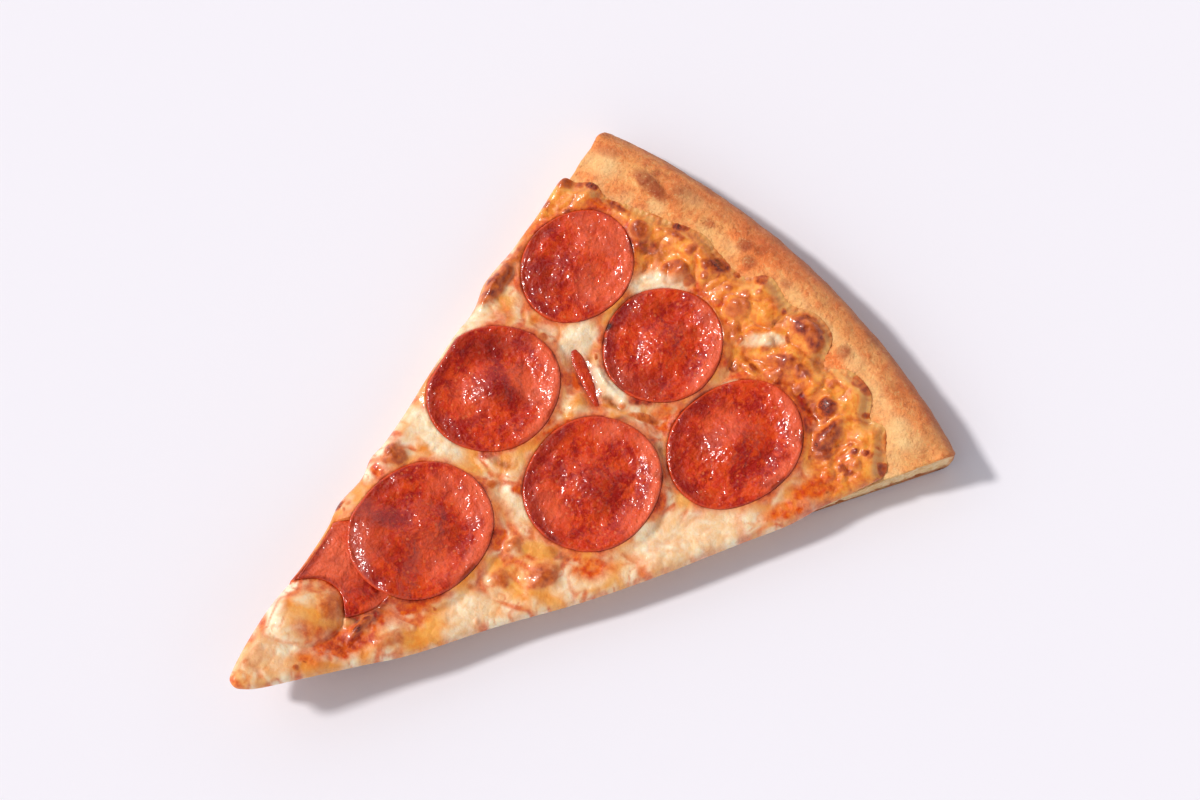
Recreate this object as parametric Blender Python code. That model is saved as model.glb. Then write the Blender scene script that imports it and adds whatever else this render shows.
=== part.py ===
"""One slice of pepperoni pizza: dough with a baked rim, sauce, melted cheese and eight pieces of pepperoni.

Plan lengths are in millimetres from the slice's tip, +X towards the rim and +Z up. They become metres in
the frame of the part, whose origin is the centre of the slice's box on the surface that it lies on.
"""
import math
from collections import namedtuple

import bpy
import numpy as np
from mathutils import Vector, geometry, noise

MM = 0.001
GAP = 0.35  # air between neighbouring solids
SEAT_GAP = 0.45  # air under a piece of pepperoni
PLAN_CENTRE = (89.5, -1.4)  # centre of the slice's box, from its tip

# Dough
RIM_CENTRE = (-9.0, -27.4)  # centre of the whole pizza's edge
RIM_RADIUS = 186.9
RIM_BULGE = 5.5  # height at which the rim reaches furthest out
RIM_CREST = 15.6
RIM_CREST_IN = 8.0  # from the outer edge to the crest
RIM_FOOT_IN = 31.0  # from the outer edge to where the rim has run down to the base
UNDERSIDE_TURN = 5.0  # from the outer edge to where the underside lies flat
BASE_TOP = 7.0
CORNER = 7.0  # length over which a corner of the outline is rounded
TIP_LIFT = 11.5  # the stiff tip curls up off the surface
TIP_LIFT_FROM = 80.0
TIP_THINNER = 2.0
RIM_PINCH = 2.6  # how far the cutter pressed the rim down at its two ends
RIM_PINCH_OVER = 7.0
LOWER_CUT = [(1.2, -1.3), (4, -2.7), (10, -5.1), (30, -12.8), (60, -23.7), (90, -34.1), (120, -43.1),
             (140, -49.3), (160, -56.0), (175.3, -61.1)]
LEFT_CUT = [(157.4, 58.2), (140, 52.4), (120, 45.4), (90, 34.2), (60, 22.9), (30, 10.7), (10, 3.5),
            (4, 1.0), (1.2, -0.5)]

# Layers on the dough
SAUCE = 0.8
SAUCE_INSET = 0.8
CHEESE = 2.9
CHEESE_LIP = 1.0  # thickness of the cheese at its very edge, and half of it on the rim
RIM_LAP = 3.5  # the strip along the rim where the cheese comes down on the dough
SAUCE_SHORT = 5.4  # how far the sauce stops short of the cheese's edge on the rim
CHEESE_ROUND = 3.0  # over which the cheese runs down to its edge
LUMPS = 0.55  # unevenness of the melted cheese
LUMP_SIZE = 9.0
CHEESE_LOWER = [(1.1, -2.0), (5, -4.8), (14, -8.6), (27, -14.1), (40, -19.7), (60, -26.2), (80, -33.9),
                (98, -39.7), (118, -45.2), (131, -48.9), (140, -50.2), (149, -52.2)]
CHEESE_RIM = [(157, -53.4), (160.5, -49), (163.5, -44.5), (162, -41), (166, -36), (165.5, -29),
              (161.5, -23.5), (167, -19.5), (167.5, -13), (164, -6.5), (164.5, 1.5), (159.8, 6), (158.5, 14),
              (158, 21), (153.5, 29), (149, 37), (145.2, 43), (145, 47.5), (141.8, 51)]
CHEESE_LEFT = [(139.5, 53.4), (130, 50.5), (120, 47.2), (113.5, 45.7), (108, 44.0), (102.5, 40.4),
               (92, 36.6), (78, 31.3), (70, 28.2), (64, 26.2), (60, 25.4), (55, 22.4), (47, 20.6),
               (41, 17.0), (30, 12.5), (20, 9.7), (12, 6.4), (5, 2.8), (1.1, 0.3)]

# Raised places, each an oval: x, y, half length, half width, turn in degrees, height
Mound = namedtuple("Mound", "x y long wide turn high")
CHEESE_MOUNDS = [
    Mound(34.0, -7.0, 5.0, 2.2, 10, 0.9), Mound(37.0, -13.5, 6.5, 3.0, -22, 0.9),
    Mound(64.3, 22.3, 3.6, 3.2, 0, 1.5), Mound(74.4, -13.2, 2.9, 2.7, 0, 0.9),
    Mound(75.6, -23.6, 5.0, 3.6, -10, 1.3), Mound(67.5, -17.6, 3.2, 3.0, 0, 0.6),
    Mound(110.5, 42.6, 7.0, 2.6, 18, 1.7), Mound(117.6, 3.5, 2.4, 8.0, 8, 1.5),
    Mound(107.5, 5.0, 3.6, 2.2, 30, 0.9), Mound(118.5, 18.5, 4.2, 2.6, 20, 0.7),
    Mound(141.5, 18.0, 5.5, 3.0, -35, 0.8), Mound(147.9, 16.3, 2.5, 2.4, 0, 1.4),
    Mound(155.6, 12.4, 3.6, 2.4, -60, 1.5), Mound(153.6, 18.6, 2.4, 2.0, 0, 0.8),
    Mound(162.4, 2.4, 2.4, 2.0, 30, 1.3), Mound(153.0, -8.5, 6.0, 2.4, -38, 1.8),
    Mound(154.5, -17.5, 6.5, 3.6, -60, 1.7), Mound(146.8, -14.0, 5.5, 1.7, -78, 1.4),
    Mound(163.4, -13.6, 4.4, 3.6, -70, 1.6), Mound(156.4, -25.5, 4.6, 1.5, -80, 1.2),
    Mound(155.4, -32.4, 2.6, 2.2, 0, 1.2), Mound(151.4, -38.0, 6.0, 2.5, 10, 1.8),
    Mound(104.0, -38.5, 8.0, 2.8, -18, 0.6),
]
CLUMP = Mound(25.0, 3.0, 9.3, 8.2, -15, 3.1)  # a steep clump that half buries one piece of pepperoni
RIM_MOUNDS = [
    Mound(155.4, 38.5, 5.4, 2.1, -82, 1.2), Mound(164.6, 11.0, 3.4, 2.4, -70, 0.7),
    Mound(167.2, -24.0, 2.6, 2.0, -70, 0.6), Mound(168.5, 8.5, 2.6, 2.0, -70, 0.5),
    Mound(160.0, 33.5, 3.0, 2.4, -60, 0.5), Mound(170.5, -38.0, 5.0, 3.0, -95, 0.6),
    Mound(152.0, 50.5, 5.0, 3.0, -65, 0.5), Mound(165.5, -47.5, 4.0, 2.6, -100, 0.5),
    Mound(171.0, -9.0, 5.0, 2.6, -88, 0.5),
]

# Pepperoni: centre, half length, half width, turn in degrees, height of the underside before the dome and the
# curl, lean in mm per mm along x and y, height of the middle's dome, height of the curled edge, the side that
# curls most in degrees, and the piece that it lies over
Pepperoni = namedtuple("Pepperoni", "x y long wide turn seat lean_x lean_y dome curl curl_side over")
PEPPERONI_THICK = 1.7
PEPPERONI_EDGE = 0.35  # how much the edge is rounded off, above and below
MOAT = 0.55  # share of the radius at which the dome ends
WAVE = 0.022  # unevenness of a piece's edge, as a share of its radius
TRIM = 0.7  # a piece that the cutter met ends this far inside the cheese's edge
PEPPERONI = {
    "pepperoni_1": Pepperoni(129.0, 33.5, 14.9, 13.5, 8, 11.0, 0.05, 0.02, 0.9, 1.4, -50, None),
    "pepperoni_2": Pepperoni(133.6, 4.7, 14.9, 14.6, 0, 10.2, 0.01, 0.0, 1.9, 2.5, -45, None),
    "pepperoni_3": Pepperoni(93.9, 21.0, 16.8, 15.4, 0, 10.2, 0.0, 0.0, 1.9, 2.7, 20, None),
    "pepperoni_4": Pepperoni(132.4, -25.7, 17.6, 14.9, 0, 10.2, 0.01, 0.0, 1.9, 2.3, -20, None),
    "pepperoni_5": Pepperoni(98.8, -12.6, 17.4, 16.2, 0, 10.2, 0.0, 0.0, 1.7, 2.5, -50, None),
    "pepperoni_6": Pepperoni(58.8, 3.1, 18.2, 16.2, 0, 10.2, 0.0, 0.0, 1.9, 2.1, -40, "pepperoni_7"),
    "pepperoni_7": Pepperoni(39.0, 6.2, 13.0, 12.0, 0, 9.9, 0.0, 0.0, 0.0, 0.6, 200, None),
}
BURIED_EDGE = "pepperoni_8"  # only the edge of this piece shows, as a strip between three others
# x, y and half width along that strip
BURIED_STRIP = [(115.6, 17.2, 0.6), (114.9, 14.6, 1.5), (113.7, 9.5, 1.5), (112.5, 5.5, 1.1),
                (111.6, 2.2, 0.5)]
BURIED_SEAT = 10.7
BURIED_THICK = 1.2

# Fineness of the solids
OUTLINE_STEP = 3.0
OUTLINE_TURN = math.radians(11)
CHEESE_STEP = 2.2
HIDDEN_STEP = 3.0  # of the cheese under the pepperoni
BASE_STEP = 8.0
RIM_STEP = 3.1
RIM_RINGS_IN = (0.35, 1.2, 2.7, 4.8, 7.6, 10.6, 13.6, 16.8, 20.2, 24.0, 28.0)
UNDERSIDE_RINGS_IN = (0.7, 2.2, 5.2)
SEAT_RINGS = (0.4, 1.4)  # rings of points round each piece, that far beyond its edge
SEAT_STEP = 2.1  # along those rings
SEAT_MARGIN = 0.9  # the cheese is pressed down as far as this beyond a piece's edge
PEPPERONI_SIDES = 28
PEPPERONI_RINGS = (0.3, 0.55, 0.78, 0.93)


def smooth(t):
    """0 below 0, 1 above 1, and an even S between."""
    t = np.clip(t, 0.0, 1.0)
    return t * t * (3 - 2 * t)


def spline(points, step=0.5):
    """A smooth curve through the points, sampled about every step."""
    p = np.array(points, float)
    p = np.vstack([2 * p[0] - p[1], p, 2 * p[-1] - p[-2]])
    out = []
    for a, b, c, d in zip(p[:-3], p[1:-2], p[2:-1], p[3:]):
        count = max(2, int(np.linalg.norm(c - b) / step))
        for t in np.arange(count) / count:
            out.append(0.5 * (2 * b + (c - a) * t + (2 * a - 5 * b + 4 * c - d) * t**2
                              + (3 * b - 3 * c + d - a) * t**3))
    out.append(p[-2])
    return np.array(out)


def resample(loop, step):
    """The closed loop with its points evenly spaced."""
    closed = np.vstack([loop, loop[:1]])
    along = np.concatenate([[0], np.cumsum(np.linalg.norm(np.diff(closed, axis=0), axis=1))])
    stations = np.linspace(0, along[-1], int(along[-1] / step), endpoint=False)
    return np.column_stack([np.interp(stations, along, closed[:, k]) for k in (0, 1)])


def rounded(loop, length):
    """The closed loop with each corner rounded over the length."""
    step = 0.4
    even = resample(loop, step)
    reach = int(length / step / 2)
    return sum(np.roll(even, k, axis=0) for k in range(-reach, reach + 1)) / (2 * reach + 1)


def thinned(loop):
    """The closed loop with only as many points as its bends need."""
    kept = [loop[0]]
    heading = None
    for here, after in zip(loop[1:-1], loop[2:]):
        ahead = math.atan2(*(after - here)[::-1])
        heading = ahead if heading is None else heading
        turn = abs((ahead - heading + math.pi) % (2 * math.pi) - math.pi)
        if turn > OUTLINE_TURN or np.linalg.norm(here - kept[-1]) > OUTLINE_STEP:
            kept.append(here)
            heading = ahead
    return np.array(kept)


def inside_by(xy, loop):
    """How far each point lies inside the closed loop, below 0 outside it."""
    xy = np.atleast_2d(xy)
    nearest = np.full(len(xy), 1e9)
    crossings = np.zeros(len(xy), int)
    for a, b in zip(loop, np.roll(loop, -1, axis=0)):
        side = b - a
        share = np.clip(((xy - a) @ side) / (side @ side), 0, 1)
        nearest = np.minimum(nearest, np.linalg.norm(xy - a - share[:, None] * side, axis=1))
        spans = (a[1] > xy[:, 1]) != (b[1] > xy[:, 1])
        if spans.any():
            meets = a[0] + (xy[:, 1] - a[1]) / (side[1] if side[1] else 1.0) * side[0]
            crossings += spans & (xy[:, 0] < meets)
    return np.where(crossings % 2 == 1, nearest, -nearest)


def outward(loop):
    """The unit normal that points out of a loop that runs anticlockwise, at each point."""
    along = np.roll(loop, -1, axis=0) - np.roll(loop, 1, axis=0)
    along /= np.linalg.norm(along, axis=1)[:, None]
    return np.column_stack([along[:, 1], -along[:, 0]])


def lift(x):
    """How far the underside is off the surface, because the tip curls up."""
    return TIP_LIFT * np.clip((TIP_LIFT_FROM - x) / TIP_LIFT_FROM, 0, 1) ** 2


def oval_share(xy, oval):
    """0 at the middle of an oval place and 1 at its edge."""
    turn = math.radians(oval.turn)
    east, north = xy[:, 0] - oval.x, xy[:, 1] - oval.y
    along = (east * math.cos(turn) + north * math.sin(turn)) / oval.long
    across = (north * math.cos(turn) - east * math.sin(turn)) / oval.wide
    return np.hypot(along, across)


def mounds(xy, places):
    """The height that the raised places add."""
    total = np.zeros(len(xy))
    for place in places:
        total = np.maximum(total, place.high * np.clip(1 - oval_share(xy, place) ** 2 / 1.7, 0, 1) ** 1.5)
    return total


def uneven(xy, size):
    """Smooth unevenness between about -1 and 1, in lumps of that size."""
    return np.array([noise.noise(Vector((x / size, y / size, 3.7))) for x, y in xy]) * 1.6


def around(centre, reach, angles):
    """Points round a centre, at those distances and angles."""
    return np.column_stack([centre[0] + reach * np.cos(angles), centre[1] + reach * np.sin(angles)])


def dough_outline():
    """The plan of the dough: two cuts and the pizza's round edge."""
    lower, left = spline(LOWER_CUT), spline(LEFT_CUT)
    ends = [math.atan2(y - RIM_CENTRE[1], x - RIM_CENTRE[0]) for x, y in (LOWER_CUT[-1], LEFT_CUT[0])]
    arc = around(RIM_CENTRE, RIM_RADIUS, np.linspace(*ends, 240))
    return thinned(rounded(np.vstack([lower[:-1], arc, left[1:]]), CORNER))


def cheese_outline():
    """The plan of the melted cheese, which hangs a little over both cuts."""
    return thinned(rounded(spline(CHEESE_LOWER + CHEESE_RIM + CHEESE_LEFT), 2.0))


def sauce_outline(cheese, dough):
    """The plan of the sauce: inside the cheese, nowhere off the dough, and short of the rim."""
    inset = np.maximum(SAUCE_INSET, SAUCE_INSET / 2 - inside_by(cheese, dough))
    loop = cheese - outward(cheese) * inset[:, None]
    short = np.clip(SAUCE_SHORT - rim_edge_distance(loop), 0, SAUCE_SHORT)
    loop = loop * (1 - short / np.linalg.norm(loop, axis=1))[:, None]
    return thinned(rounded(loop, 4.0))


def rim_distance(xy):
    """The distance in from the pizza's round edge."""
    return RIM_RADIUS - np.hypot(xy[:, 0] - RIM_CENTRE[0], xy[:, 1] - RIM_CENTRE[1])


def rim_edge_distance(xy):
    """The distance from the cheese's edge on the rim."""
    line = spline(CHEESE_RIM)[::3]
    return np.min(np.linalg.norm(xy[:, None] - line[None], axis=2), axis=1)


def dough_top(xy, dough):
    """The height of the dough's upper side, lifted tip included."""
    inward = rim_distance(xy)
    base = BASE_TOP - TIP_THINNER * np.clip(1 - xy[:, 0] / TIP_LIFT_FROM, 0, 1)
    pinch = (1 - smooth(inside_by(xy, dough) / RIM_PINCH_OVER)) * smooth((inward - 3.0) / 5.0)
    crest = RIM_CREST + 0.7 * uneven(xy, 26.0) - RIM_PINCH * pinch
    outer = RIM_BULGE + (crest - RIM_BULGE) * np.sqrt(1 - np.clip(1 - inward / RIM_CREST_IN, 0, 1) ** 2)
    inner = base + (crest - base) * (1 - smooth((inward - RIM_CREST_IN) / (RIM_FOOT_IN - RIM_CREST_IN)))
    rim = np.where(inward < RIM_CREST_IN, outer, inner)
    return rim + lift(xy[:, 0]) + mounds(xy, RIM_MOUNDS)


def dough_bottom(xy):
    """The height of the underside, which turns up to the rim's bulge."""
    inward = np.clip(UNDERSIDE_TURN - rim_distance(xy), 0, UNDERSIDE_TURN) / UNDERSIDE_TURN
    return (RIM_BULGE - 1.5) * (1 - np.sqrt(np.clip(1 - inward**2, 0, 1))) + lift(xy[:, 0])


def cheese_bottom(xy, dough):
    """The cheese's underside: on the sauce, and down on the dough along the rim."""
    return dough_top(xy, dough) + GAP + (SAUCE + GAP) * smooth(rim_edge_distance(xy) / RIM_LAP)


def cheese_top(xy, dough, cheese, pieces):
    """The cheese's upper side: rounded at its edge, lumpy, and pressed down under each piece."""
    edge = np.clip(inside_by(xy, cheese) / CHEESE_ROUND, 0, 1)
    round_off = np.sqrt(np.clip(1 - (1 - edge) ** 2, 0, 1))
    thick = CHEESE * (1 - 0.35 * smooth((20.0 - rim_distance(xy)) / 8.0))
    full = thick + LUMPS * uneven(xy, LUMP_SIZE) + mounds(xy, CHEESE_MOUNDS)
    full += CLUMP.high * np.clip(1 - oval_share(xy, CLUMP) ** 2.5, 0, 1) ** 0.6
    bottom = cheese_bottom(xy, dough)
    lip = CHEESE_LIP * (1 - 0.5 * smooth((RIM_LAP - rim_edge_distance(xy)) / RIM_LAP))
    top = bottom + lip + (full - lip) * round_off
    for piece in pieces:
        under = np.maximum(piece.underside(xy) - SEAT_GAP, bottom + 0.4)
        top = np.where(piece.beyond(xy) < SEAT_MARGIN, np.minimum(top, under), top)
    return top


class Piece:
    """A piece of pepperoni, known by the loop of its edge."""

    def __init__(self, loop):
        self.loop = loop

    def beyond(self, xy):
        """How far each point lies outside the edge, below 0 inside it."""
        return -inside_by(xy, self.loop)

    def seat(self, beyond):
        """Points all round, that far outside the edge."""
        return resample(self.loop + outward(self.loop) * beyond, SEAT_STEP)


class Disc(Piece):
    """One round piece of pepperoni as a height function over its plan."""

    def __init__(self, facts, outline, below):
        self.facts, self.outline, self.below = facts, outline, below
        self.angles = np.arange(PEPPERONI_SIDES) * 2 * math.pi / PEPPERONI_SIDES
        self.reaches = self._reaches()
        super().__init__(self.ring(1.0))

    def _reaches(self):
        """The distance from the centre to the edge all round: an uneven oval, cut off by side and clump."""
        f, a = self.facts, self.angles
        turned = a - math.radians(f.turn)
        oval = 1 / np.hypot(np.cos(turned) / f.long, np.sin(turned) / f.wide)
        oval *= 1 + WAVE * np.sin(3 * a + f.x) * np.sin(a - f.y)
        reaches = np.zeros(len(a))
        for share in np.linspace(0.3, 1, 100):
            plan = around((f.x, f.y), oval * share, a)
            kept = (inside_by(plan, self.outline) > TRIM) & (oval_share(plan, CLUMP) > 1.0)
            reaches = np.where(kept, oval * share, reaches)
        return reaches

    def share(self, xy):
        """0 at the centre and 1 at the edge."""
        east, north = xy[:, 0] - self.facts.x, xy[:, 1] - self.facts.y
        reach = np.interp(np.arctan2(north, east), self.angles, self.reaches, period=2 * math.pi)
        return np.hypot(east, north) / reach

    def underside(self, xy):
        f = self.facts
        east, north = xy[:, 0] - f.x, xy[:, 1] - f.y
        share = self.share(xy)
        side = 0.6 + 0.4 * np.cos(np.arctan2(north, east) - math.radians(f.curl_side))
        rise = f.dome * (1 - smooth(share / MOAT)) + f.curl * smooth((share - MOAT) / (1 - MOAT)) * side
        if self.below:
            rise = rise + (PEPPERONI_THICK + GAP) * (1 - smooth((self.below.share(xy) - 0.95) / 0.55))
        return f.seat + lift(xy[:, 0]) + f.lean_x * east + f.lean_y * north + rise

    def ring(self, share):
        """Points round the centre, at that share of the way to the edge."""
        return around((self.facts.x, self.facts.y), self.reaches * share, self.angles)


class Strip(Piece):
    """The showing edge of the buried piece."""

    def __init__(self):
        line = spline(BURIED_STRIP, 1.0)
        along = np.gradient(line[:, :2], axis=0)
        along /= np.linalg.norm(along, axis=1)[:, None]
        across = np.column_stack([-along[:, 1], along[:, 0]]) * line[:, 2:]
        loop = np.vstack([line[:, :2] - across, (line[:, :2] + across)[::-1]])
        super().__init__(loop if area(loop) > 0 else loop[::-1])

    def underside(self, xy):
        return np.full(len(xy), BURIED_SEAT)


def beyond_all(xy, pieces):
    """How far each point lies outside the nearest piece's edge."""
    return np.min([piece.beyond(xy) for piece in pieces], axis=0)


def area(loop):
    x, y = loop.T
    return 0.5 * np.sum(x * np.roll(y, -1) - np.roll(x, -1) * y)


def hexagons(loop, step, margin):
    """Points in a triangular grid inside the loop."""
    low, high = loop.min(0), loop.max(0)
    rows = np.arange(low[1], high[1], step * math.sqrt(3) / 2)
    x, y = np.meshgrid(np.arange(low[0], high[0], step), rows)
    x += (np.arange(len(rows)) % 2)[:, None] * step / 2
    grid = np.column_stack([x.ravel(), y.ravel()])
    return grid[inside_by(grid, loop) > margin]


def spread(points, distance, kept=()):
    """The kept points, and each of the others that is no nearer than the distance to the ones before it."""
    kept = list(kept)
    for point in points:
        if not kept or np.min(np.linalg.norm(np.array(kept) - point, axis=1)) > distance:
            kept.append(point)
    return np.array(kept)


def triangles(loop, inner):
    """Triangles inside the loop whose corners are its points and the inner points."""
    points = np.vstack([loop, inner]) if len(inner) else loop
    corners = [Vector(p) for p in points]
    found = geometry.delaunay_2d_cdt(corners, [], [list(range(len(loop)))], 1, 1e-7)
    source = [origin[0] for origin in found[3]]
    faces = [[source[k] for k in face] for face in found[2]]
    return points, [face if area(points[face]) > 0 else face[::-1] for face in faces]


def add_object(name, vertices, faces, colour, roughness, smooth_angle=50):
    """A named object with its own material, from vertices in millimetres of the plan."""
    shifted = (np.array(vertices) - (*PLAN_CENTRE, 0.0)) * MM
    mesh = bpy.data.meshes.new(name)
    mesh.from_pydata(shifted.tolist(), [], [list(map(int, face)) for face in faces])
    mesh.validate()
    mesh.shade_smooth()
    mesh.set_sharp_from_angle(angle=math.radians(smooth_angle))
    thing = bpy.data.objects.new(name, mesh)
    bpy.context.scene.collection.objects.link(thing)
    material = bpy.data.materials.new(name)
    material.use_nodes = True
    shader = material.node_tree.nodes["Principled BSDF"]
    shader.inputs["Base Color"].default_value = (*colour, 1.0)
    shader.inputs["Roughness"].default_value = roughness
    mesh.materials.append(material)
    return thing


def add_slab(name, loop, top_points, bottom_points, top, bottom, colour, roughness):
    """A closed solid over a plan, between two height functions, with an upright wall round it."""
    above, top_faces = triangles(loop, top_points)
    below, bottom_faces = triangles(loop, bottom_points)
    count = len(loop)
    vertices = np.vstack([np.column_stack([above, top(above)]), np.column_stack([below, bottom(below)])])
    start = len(above)
    faces = list(top_faces) + [[start + k for k in face[::-1]] for face in bottom_faces]
    for k in range(count):
        after = (k + 1) % count
        faces += [[k, start + k, start + after], [k, start + after, after]]
    return add_object(name, vertices, faces, colour, roughness)


def ring_points(rings, dough, margin):
    """Points along circles that run inside the round edge, clear of the dough's outline."""
    points = []
    for number, inward in enumerate(rings):
        radius = RIM_RADIUS - inward
        angles = np.arange(-0.25, 0.60, RIM_STEP / radius) + (number % 2) * RIM_STEP / radius / 2
        ring = around(RIM_CENTRE, radius, angles)
        points.append(ring[inside_by(ring, dough) > min(margin, inward - 0.1)])
    return np.vstack(points)


def base_points(dough):
    """The grid of points on the flat of the dough, which its layers share."""
    return hexagons(dough, BASE_STEP, 2.5)


def upper_points(dough):
    """The points of the dough's upper side, which the layers on it share."""
    base = base_points(dough)
    flat = base[rim_distance(base) > RIM_RINGS_IN[-1] + BASE_STEP / 3]
    return np.vstack([flat, ring_points(RIM_RINGS_IN, dough, 1.5)])


def add_crust(dough):
    base = base_points(dough)
    under = np.vstack([base[rim_distance(base) > 10.0], ring_points(UNDERSIDE_RINGS_IN, dough, 1.5)])
    add_slab("crust", dough, upper_points(dough), under, lambda xy: dough_top(xy, dough), dough_bottom,
             (0.62, 0.33, 0.12), 0.75)


def add_sauce(dough, cheese):
    loop = sauce_outline(cheese, dough)
    inner = upper_points(dough)
    inner = inner[inside_by(inner, loop) > 1.0]
    add_slab("tomato_sauce", loop, inner, inner, lambda xy: dough_top(xy, dough) + GAP + SAUCE,
             lambda xy: dough_top(xy, dough) + GAP, (0.55, 0.07, 0.01), 0.35)


def add_cheese(dough, cheese, pieces):
    seats = np.vstack([piece.seat(beyond) for beyond in SEAT_RINGS for piece in pieces])
    seats = spread(seats[inside_by(seats, cheese) > 0.7], 0.7)
    showing, hidden = hexagons(cheese, CHEESE_STEP, 1.1), hexagons(cheese, HIDDEN_STEP, 1.1)
    grid = np.vstack([showing[beyond_all(showing, pieces) > 0], hidden[beyond_all(hidden, pieces) < 0]])
    under = upper_points(dough)
    under = under[inside_by(under, cheese) > 1.0]
    add_slab("cheese", cheese, spread(grid, 1.2, seats), under,
             lambda xy: cheese_top(xy, dough, cheese, pieces), lambda xy: cheese_bottom(xy, dough),
             (0.80, 0.42, 0.13), 0.4)


def add_pepperoni(name, disc):
    """A thin disc with a domed middle and a curled edge."""
    rings = [disc.ring(share) for share in (*PEPPERONI_RINGS, 1.0)]
    plan = np.vstack([[[disc.facts.x, disc.facts.y]], *rings])
    bottom = disc.underside(plan)
    top = bottom + PEPPERONI_THICK
    bottom[-PEPPERONI_SIDES:] += PEPPERONI_EDGE
    top[-PEPPERONI_SIDES:] -= PEPPERONI_EDGE
    vertices = np.vstack([np.column_stack([plan, top]), np.column_stack([plan, bottom])])
    start, faces = len(plan), []
    for k in range(PEPPERONI_SIDES):
        after = (k + 1) % PEPPERONI_SIDES
        faces += [[0, 1 + k, 1 + after], [start, start + 1 + after, start + 1 + k]]
        for ring in range(len(rings) - 1):
            a, b = 1 + ring * PEPPERONI_SIDES + k, 1 + ring * PEPPERONI_SIDES + after
            c, d = a + PEPPERONI_SIDES, b + PEPPERONI_SIDES
            faces += [[a, c, d], [a, d, b]]
            faces += [[start + a, start + d, start + c], [start + a, start + b, start + d]]
        c, d = 1 + (len(rings) - 1) * PEPPERONI_SIDES + k, 1 + (len(rings) - 1) * PEPPERONI_SIDES + after
        faces += [[c, start + c, start + d], [c, start + d, d]]
    add_object(name, vertices, faces, (0.50, 0.06, 0.02), 0.4)


def add_strip(strip):
    loop = resample(strip.loop, 1.4)
    none = np.empty((0, 2))
    add_slab(BURIED_EDGE, loop, none, none, lambda xy: strip.underside(xy) + BURIED_THICK, strip.underside,
             (0.50, 0.06, 0.02), 0.4)


def main():
    for old in list(bpy.data.objects):
        bpy.data.objects.remove(old)
    dough, cheese = dough_outline(), cheese_outline()
    discs = {}
    for name in sorted(PEPPERONI, reverse=True):
        facts = PEPPERONI[name]
        discs[name] = Disc(facts, cheese, discs.get(facts.over))
    strip = Strip()
    add_crust(dough)
    add_sauce(dough, cheese)
    add_cheese(dough, cheese, [strip, *discs.values()])
    for name, disc in discs.items():
        add_pepperoni(name, disc)
    add_strip(strip)


main()
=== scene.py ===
"""Looks of the pepperoni pizza slice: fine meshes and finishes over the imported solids.

Plan lengths are in millimetres from the slice's tip, as in the part's source; vertices become metres in the
part's frame, whose origin is the centre of the slice's box on the surface that it lies on.
"""

import itertools
import math
from collections import namedtuple

import bpy
import numpy as np
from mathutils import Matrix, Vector, geometry, noise


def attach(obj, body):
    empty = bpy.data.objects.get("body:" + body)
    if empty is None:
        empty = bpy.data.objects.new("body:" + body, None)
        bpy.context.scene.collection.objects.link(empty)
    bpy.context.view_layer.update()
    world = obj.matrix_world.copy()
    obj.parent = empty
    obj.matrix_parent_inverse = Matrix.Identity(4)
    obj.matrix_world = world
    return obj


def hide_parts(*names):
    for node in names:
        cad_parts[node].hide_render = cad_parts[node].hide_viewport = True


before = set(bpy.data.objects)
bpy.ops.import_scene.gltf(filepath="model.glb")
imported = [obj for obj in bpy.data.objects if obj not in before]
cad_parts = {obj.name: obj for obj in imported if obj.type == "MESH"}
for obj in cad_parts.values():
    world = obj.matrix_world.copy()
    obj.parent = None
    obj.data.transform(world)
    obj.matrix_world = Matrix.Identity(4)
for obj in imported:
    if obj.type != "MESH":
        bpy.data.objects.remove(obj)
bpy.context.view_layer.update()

MM = 0.001
GAP = 0.35  # air between neighbouring layers, as in the part's source
SEAT_SHOWN_GAP = 0.15  # the same where a piece of pepperoni lies on the cheese
PLAN_CENTRE = (89.5, -1.4)
PIZZA_CENTRE = (-9.0, -27.4)
PIZZA_RADIUS = 186.9

# Dough, as in the part's source
RIM_BULGE = 5.5
RIM_CREST = 15.6
RIM_CREST_IN = 8.0
RIM_FOOT_IN = 31.0
UNDERSIDE_TURN = 5.0
BASE_TOP = 7.0
CORNER = 7.0
TIP_LIFT = 11.5
TIP_LIFT_FROM = 80.0
TIP_THINNER = 2.0
RIM_PINCH = 2.6
RIM_PINCH_OVER = 7.0
LOWER_CUT = [(1.2, -1.3), (4, -2.7), (10, -5.1), (30, -12.8), (60, -23.7), (90, -34.1), (120, -43.1),
             (140, -49.3), (160, -56.0), (175.3, -61.1)]
LEFT_CUT = [(157.4, 58.2), (140, 52.4), (120, 45.4), (90, 34.2), (60, 22.9), (30, 10.7), (10, 3.5),
            (4, 1.0), (1.2, -0.5)]

# Layers on the dough, as in the part's source
SAUCE = 0.8
SAUCE_INSET = 0.8
CHEESE = 2.9
CHEESE_LIP = 1.0
RIM_LAP = 3.5
SAUCE_SHORT = 5.4
CHEESE_ROUND = 3.0
LUMPS = 0.55
LUMP_SIZE = 9.0
CHEESE_LOWER = [(1.1, -2.0), (5, -4.8), (14, -8.6), (27, -14.1), (40, -19.7), (60, -26.2), (80, -33.9),
                (98, -39.7), (118, -45.2), (131, -48.9), (140, -50.2), (149, -52.2)]
CHEESE_RIM = [(157, -53.4), (160.5, -49), (163.5, -44.5), (162, -41), (166, -36), (165.5, -29),
              (161.5, -23.5), (167, -19.5), (167.5, -13), (164, -6.5), (164.5, 1.5), (159.8, 6), (158.5, 14),
              (158, 21), (153.5, 29), (149, 37), (145.2, 43), (145, 47.5), (141.8, 51)]
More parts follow.
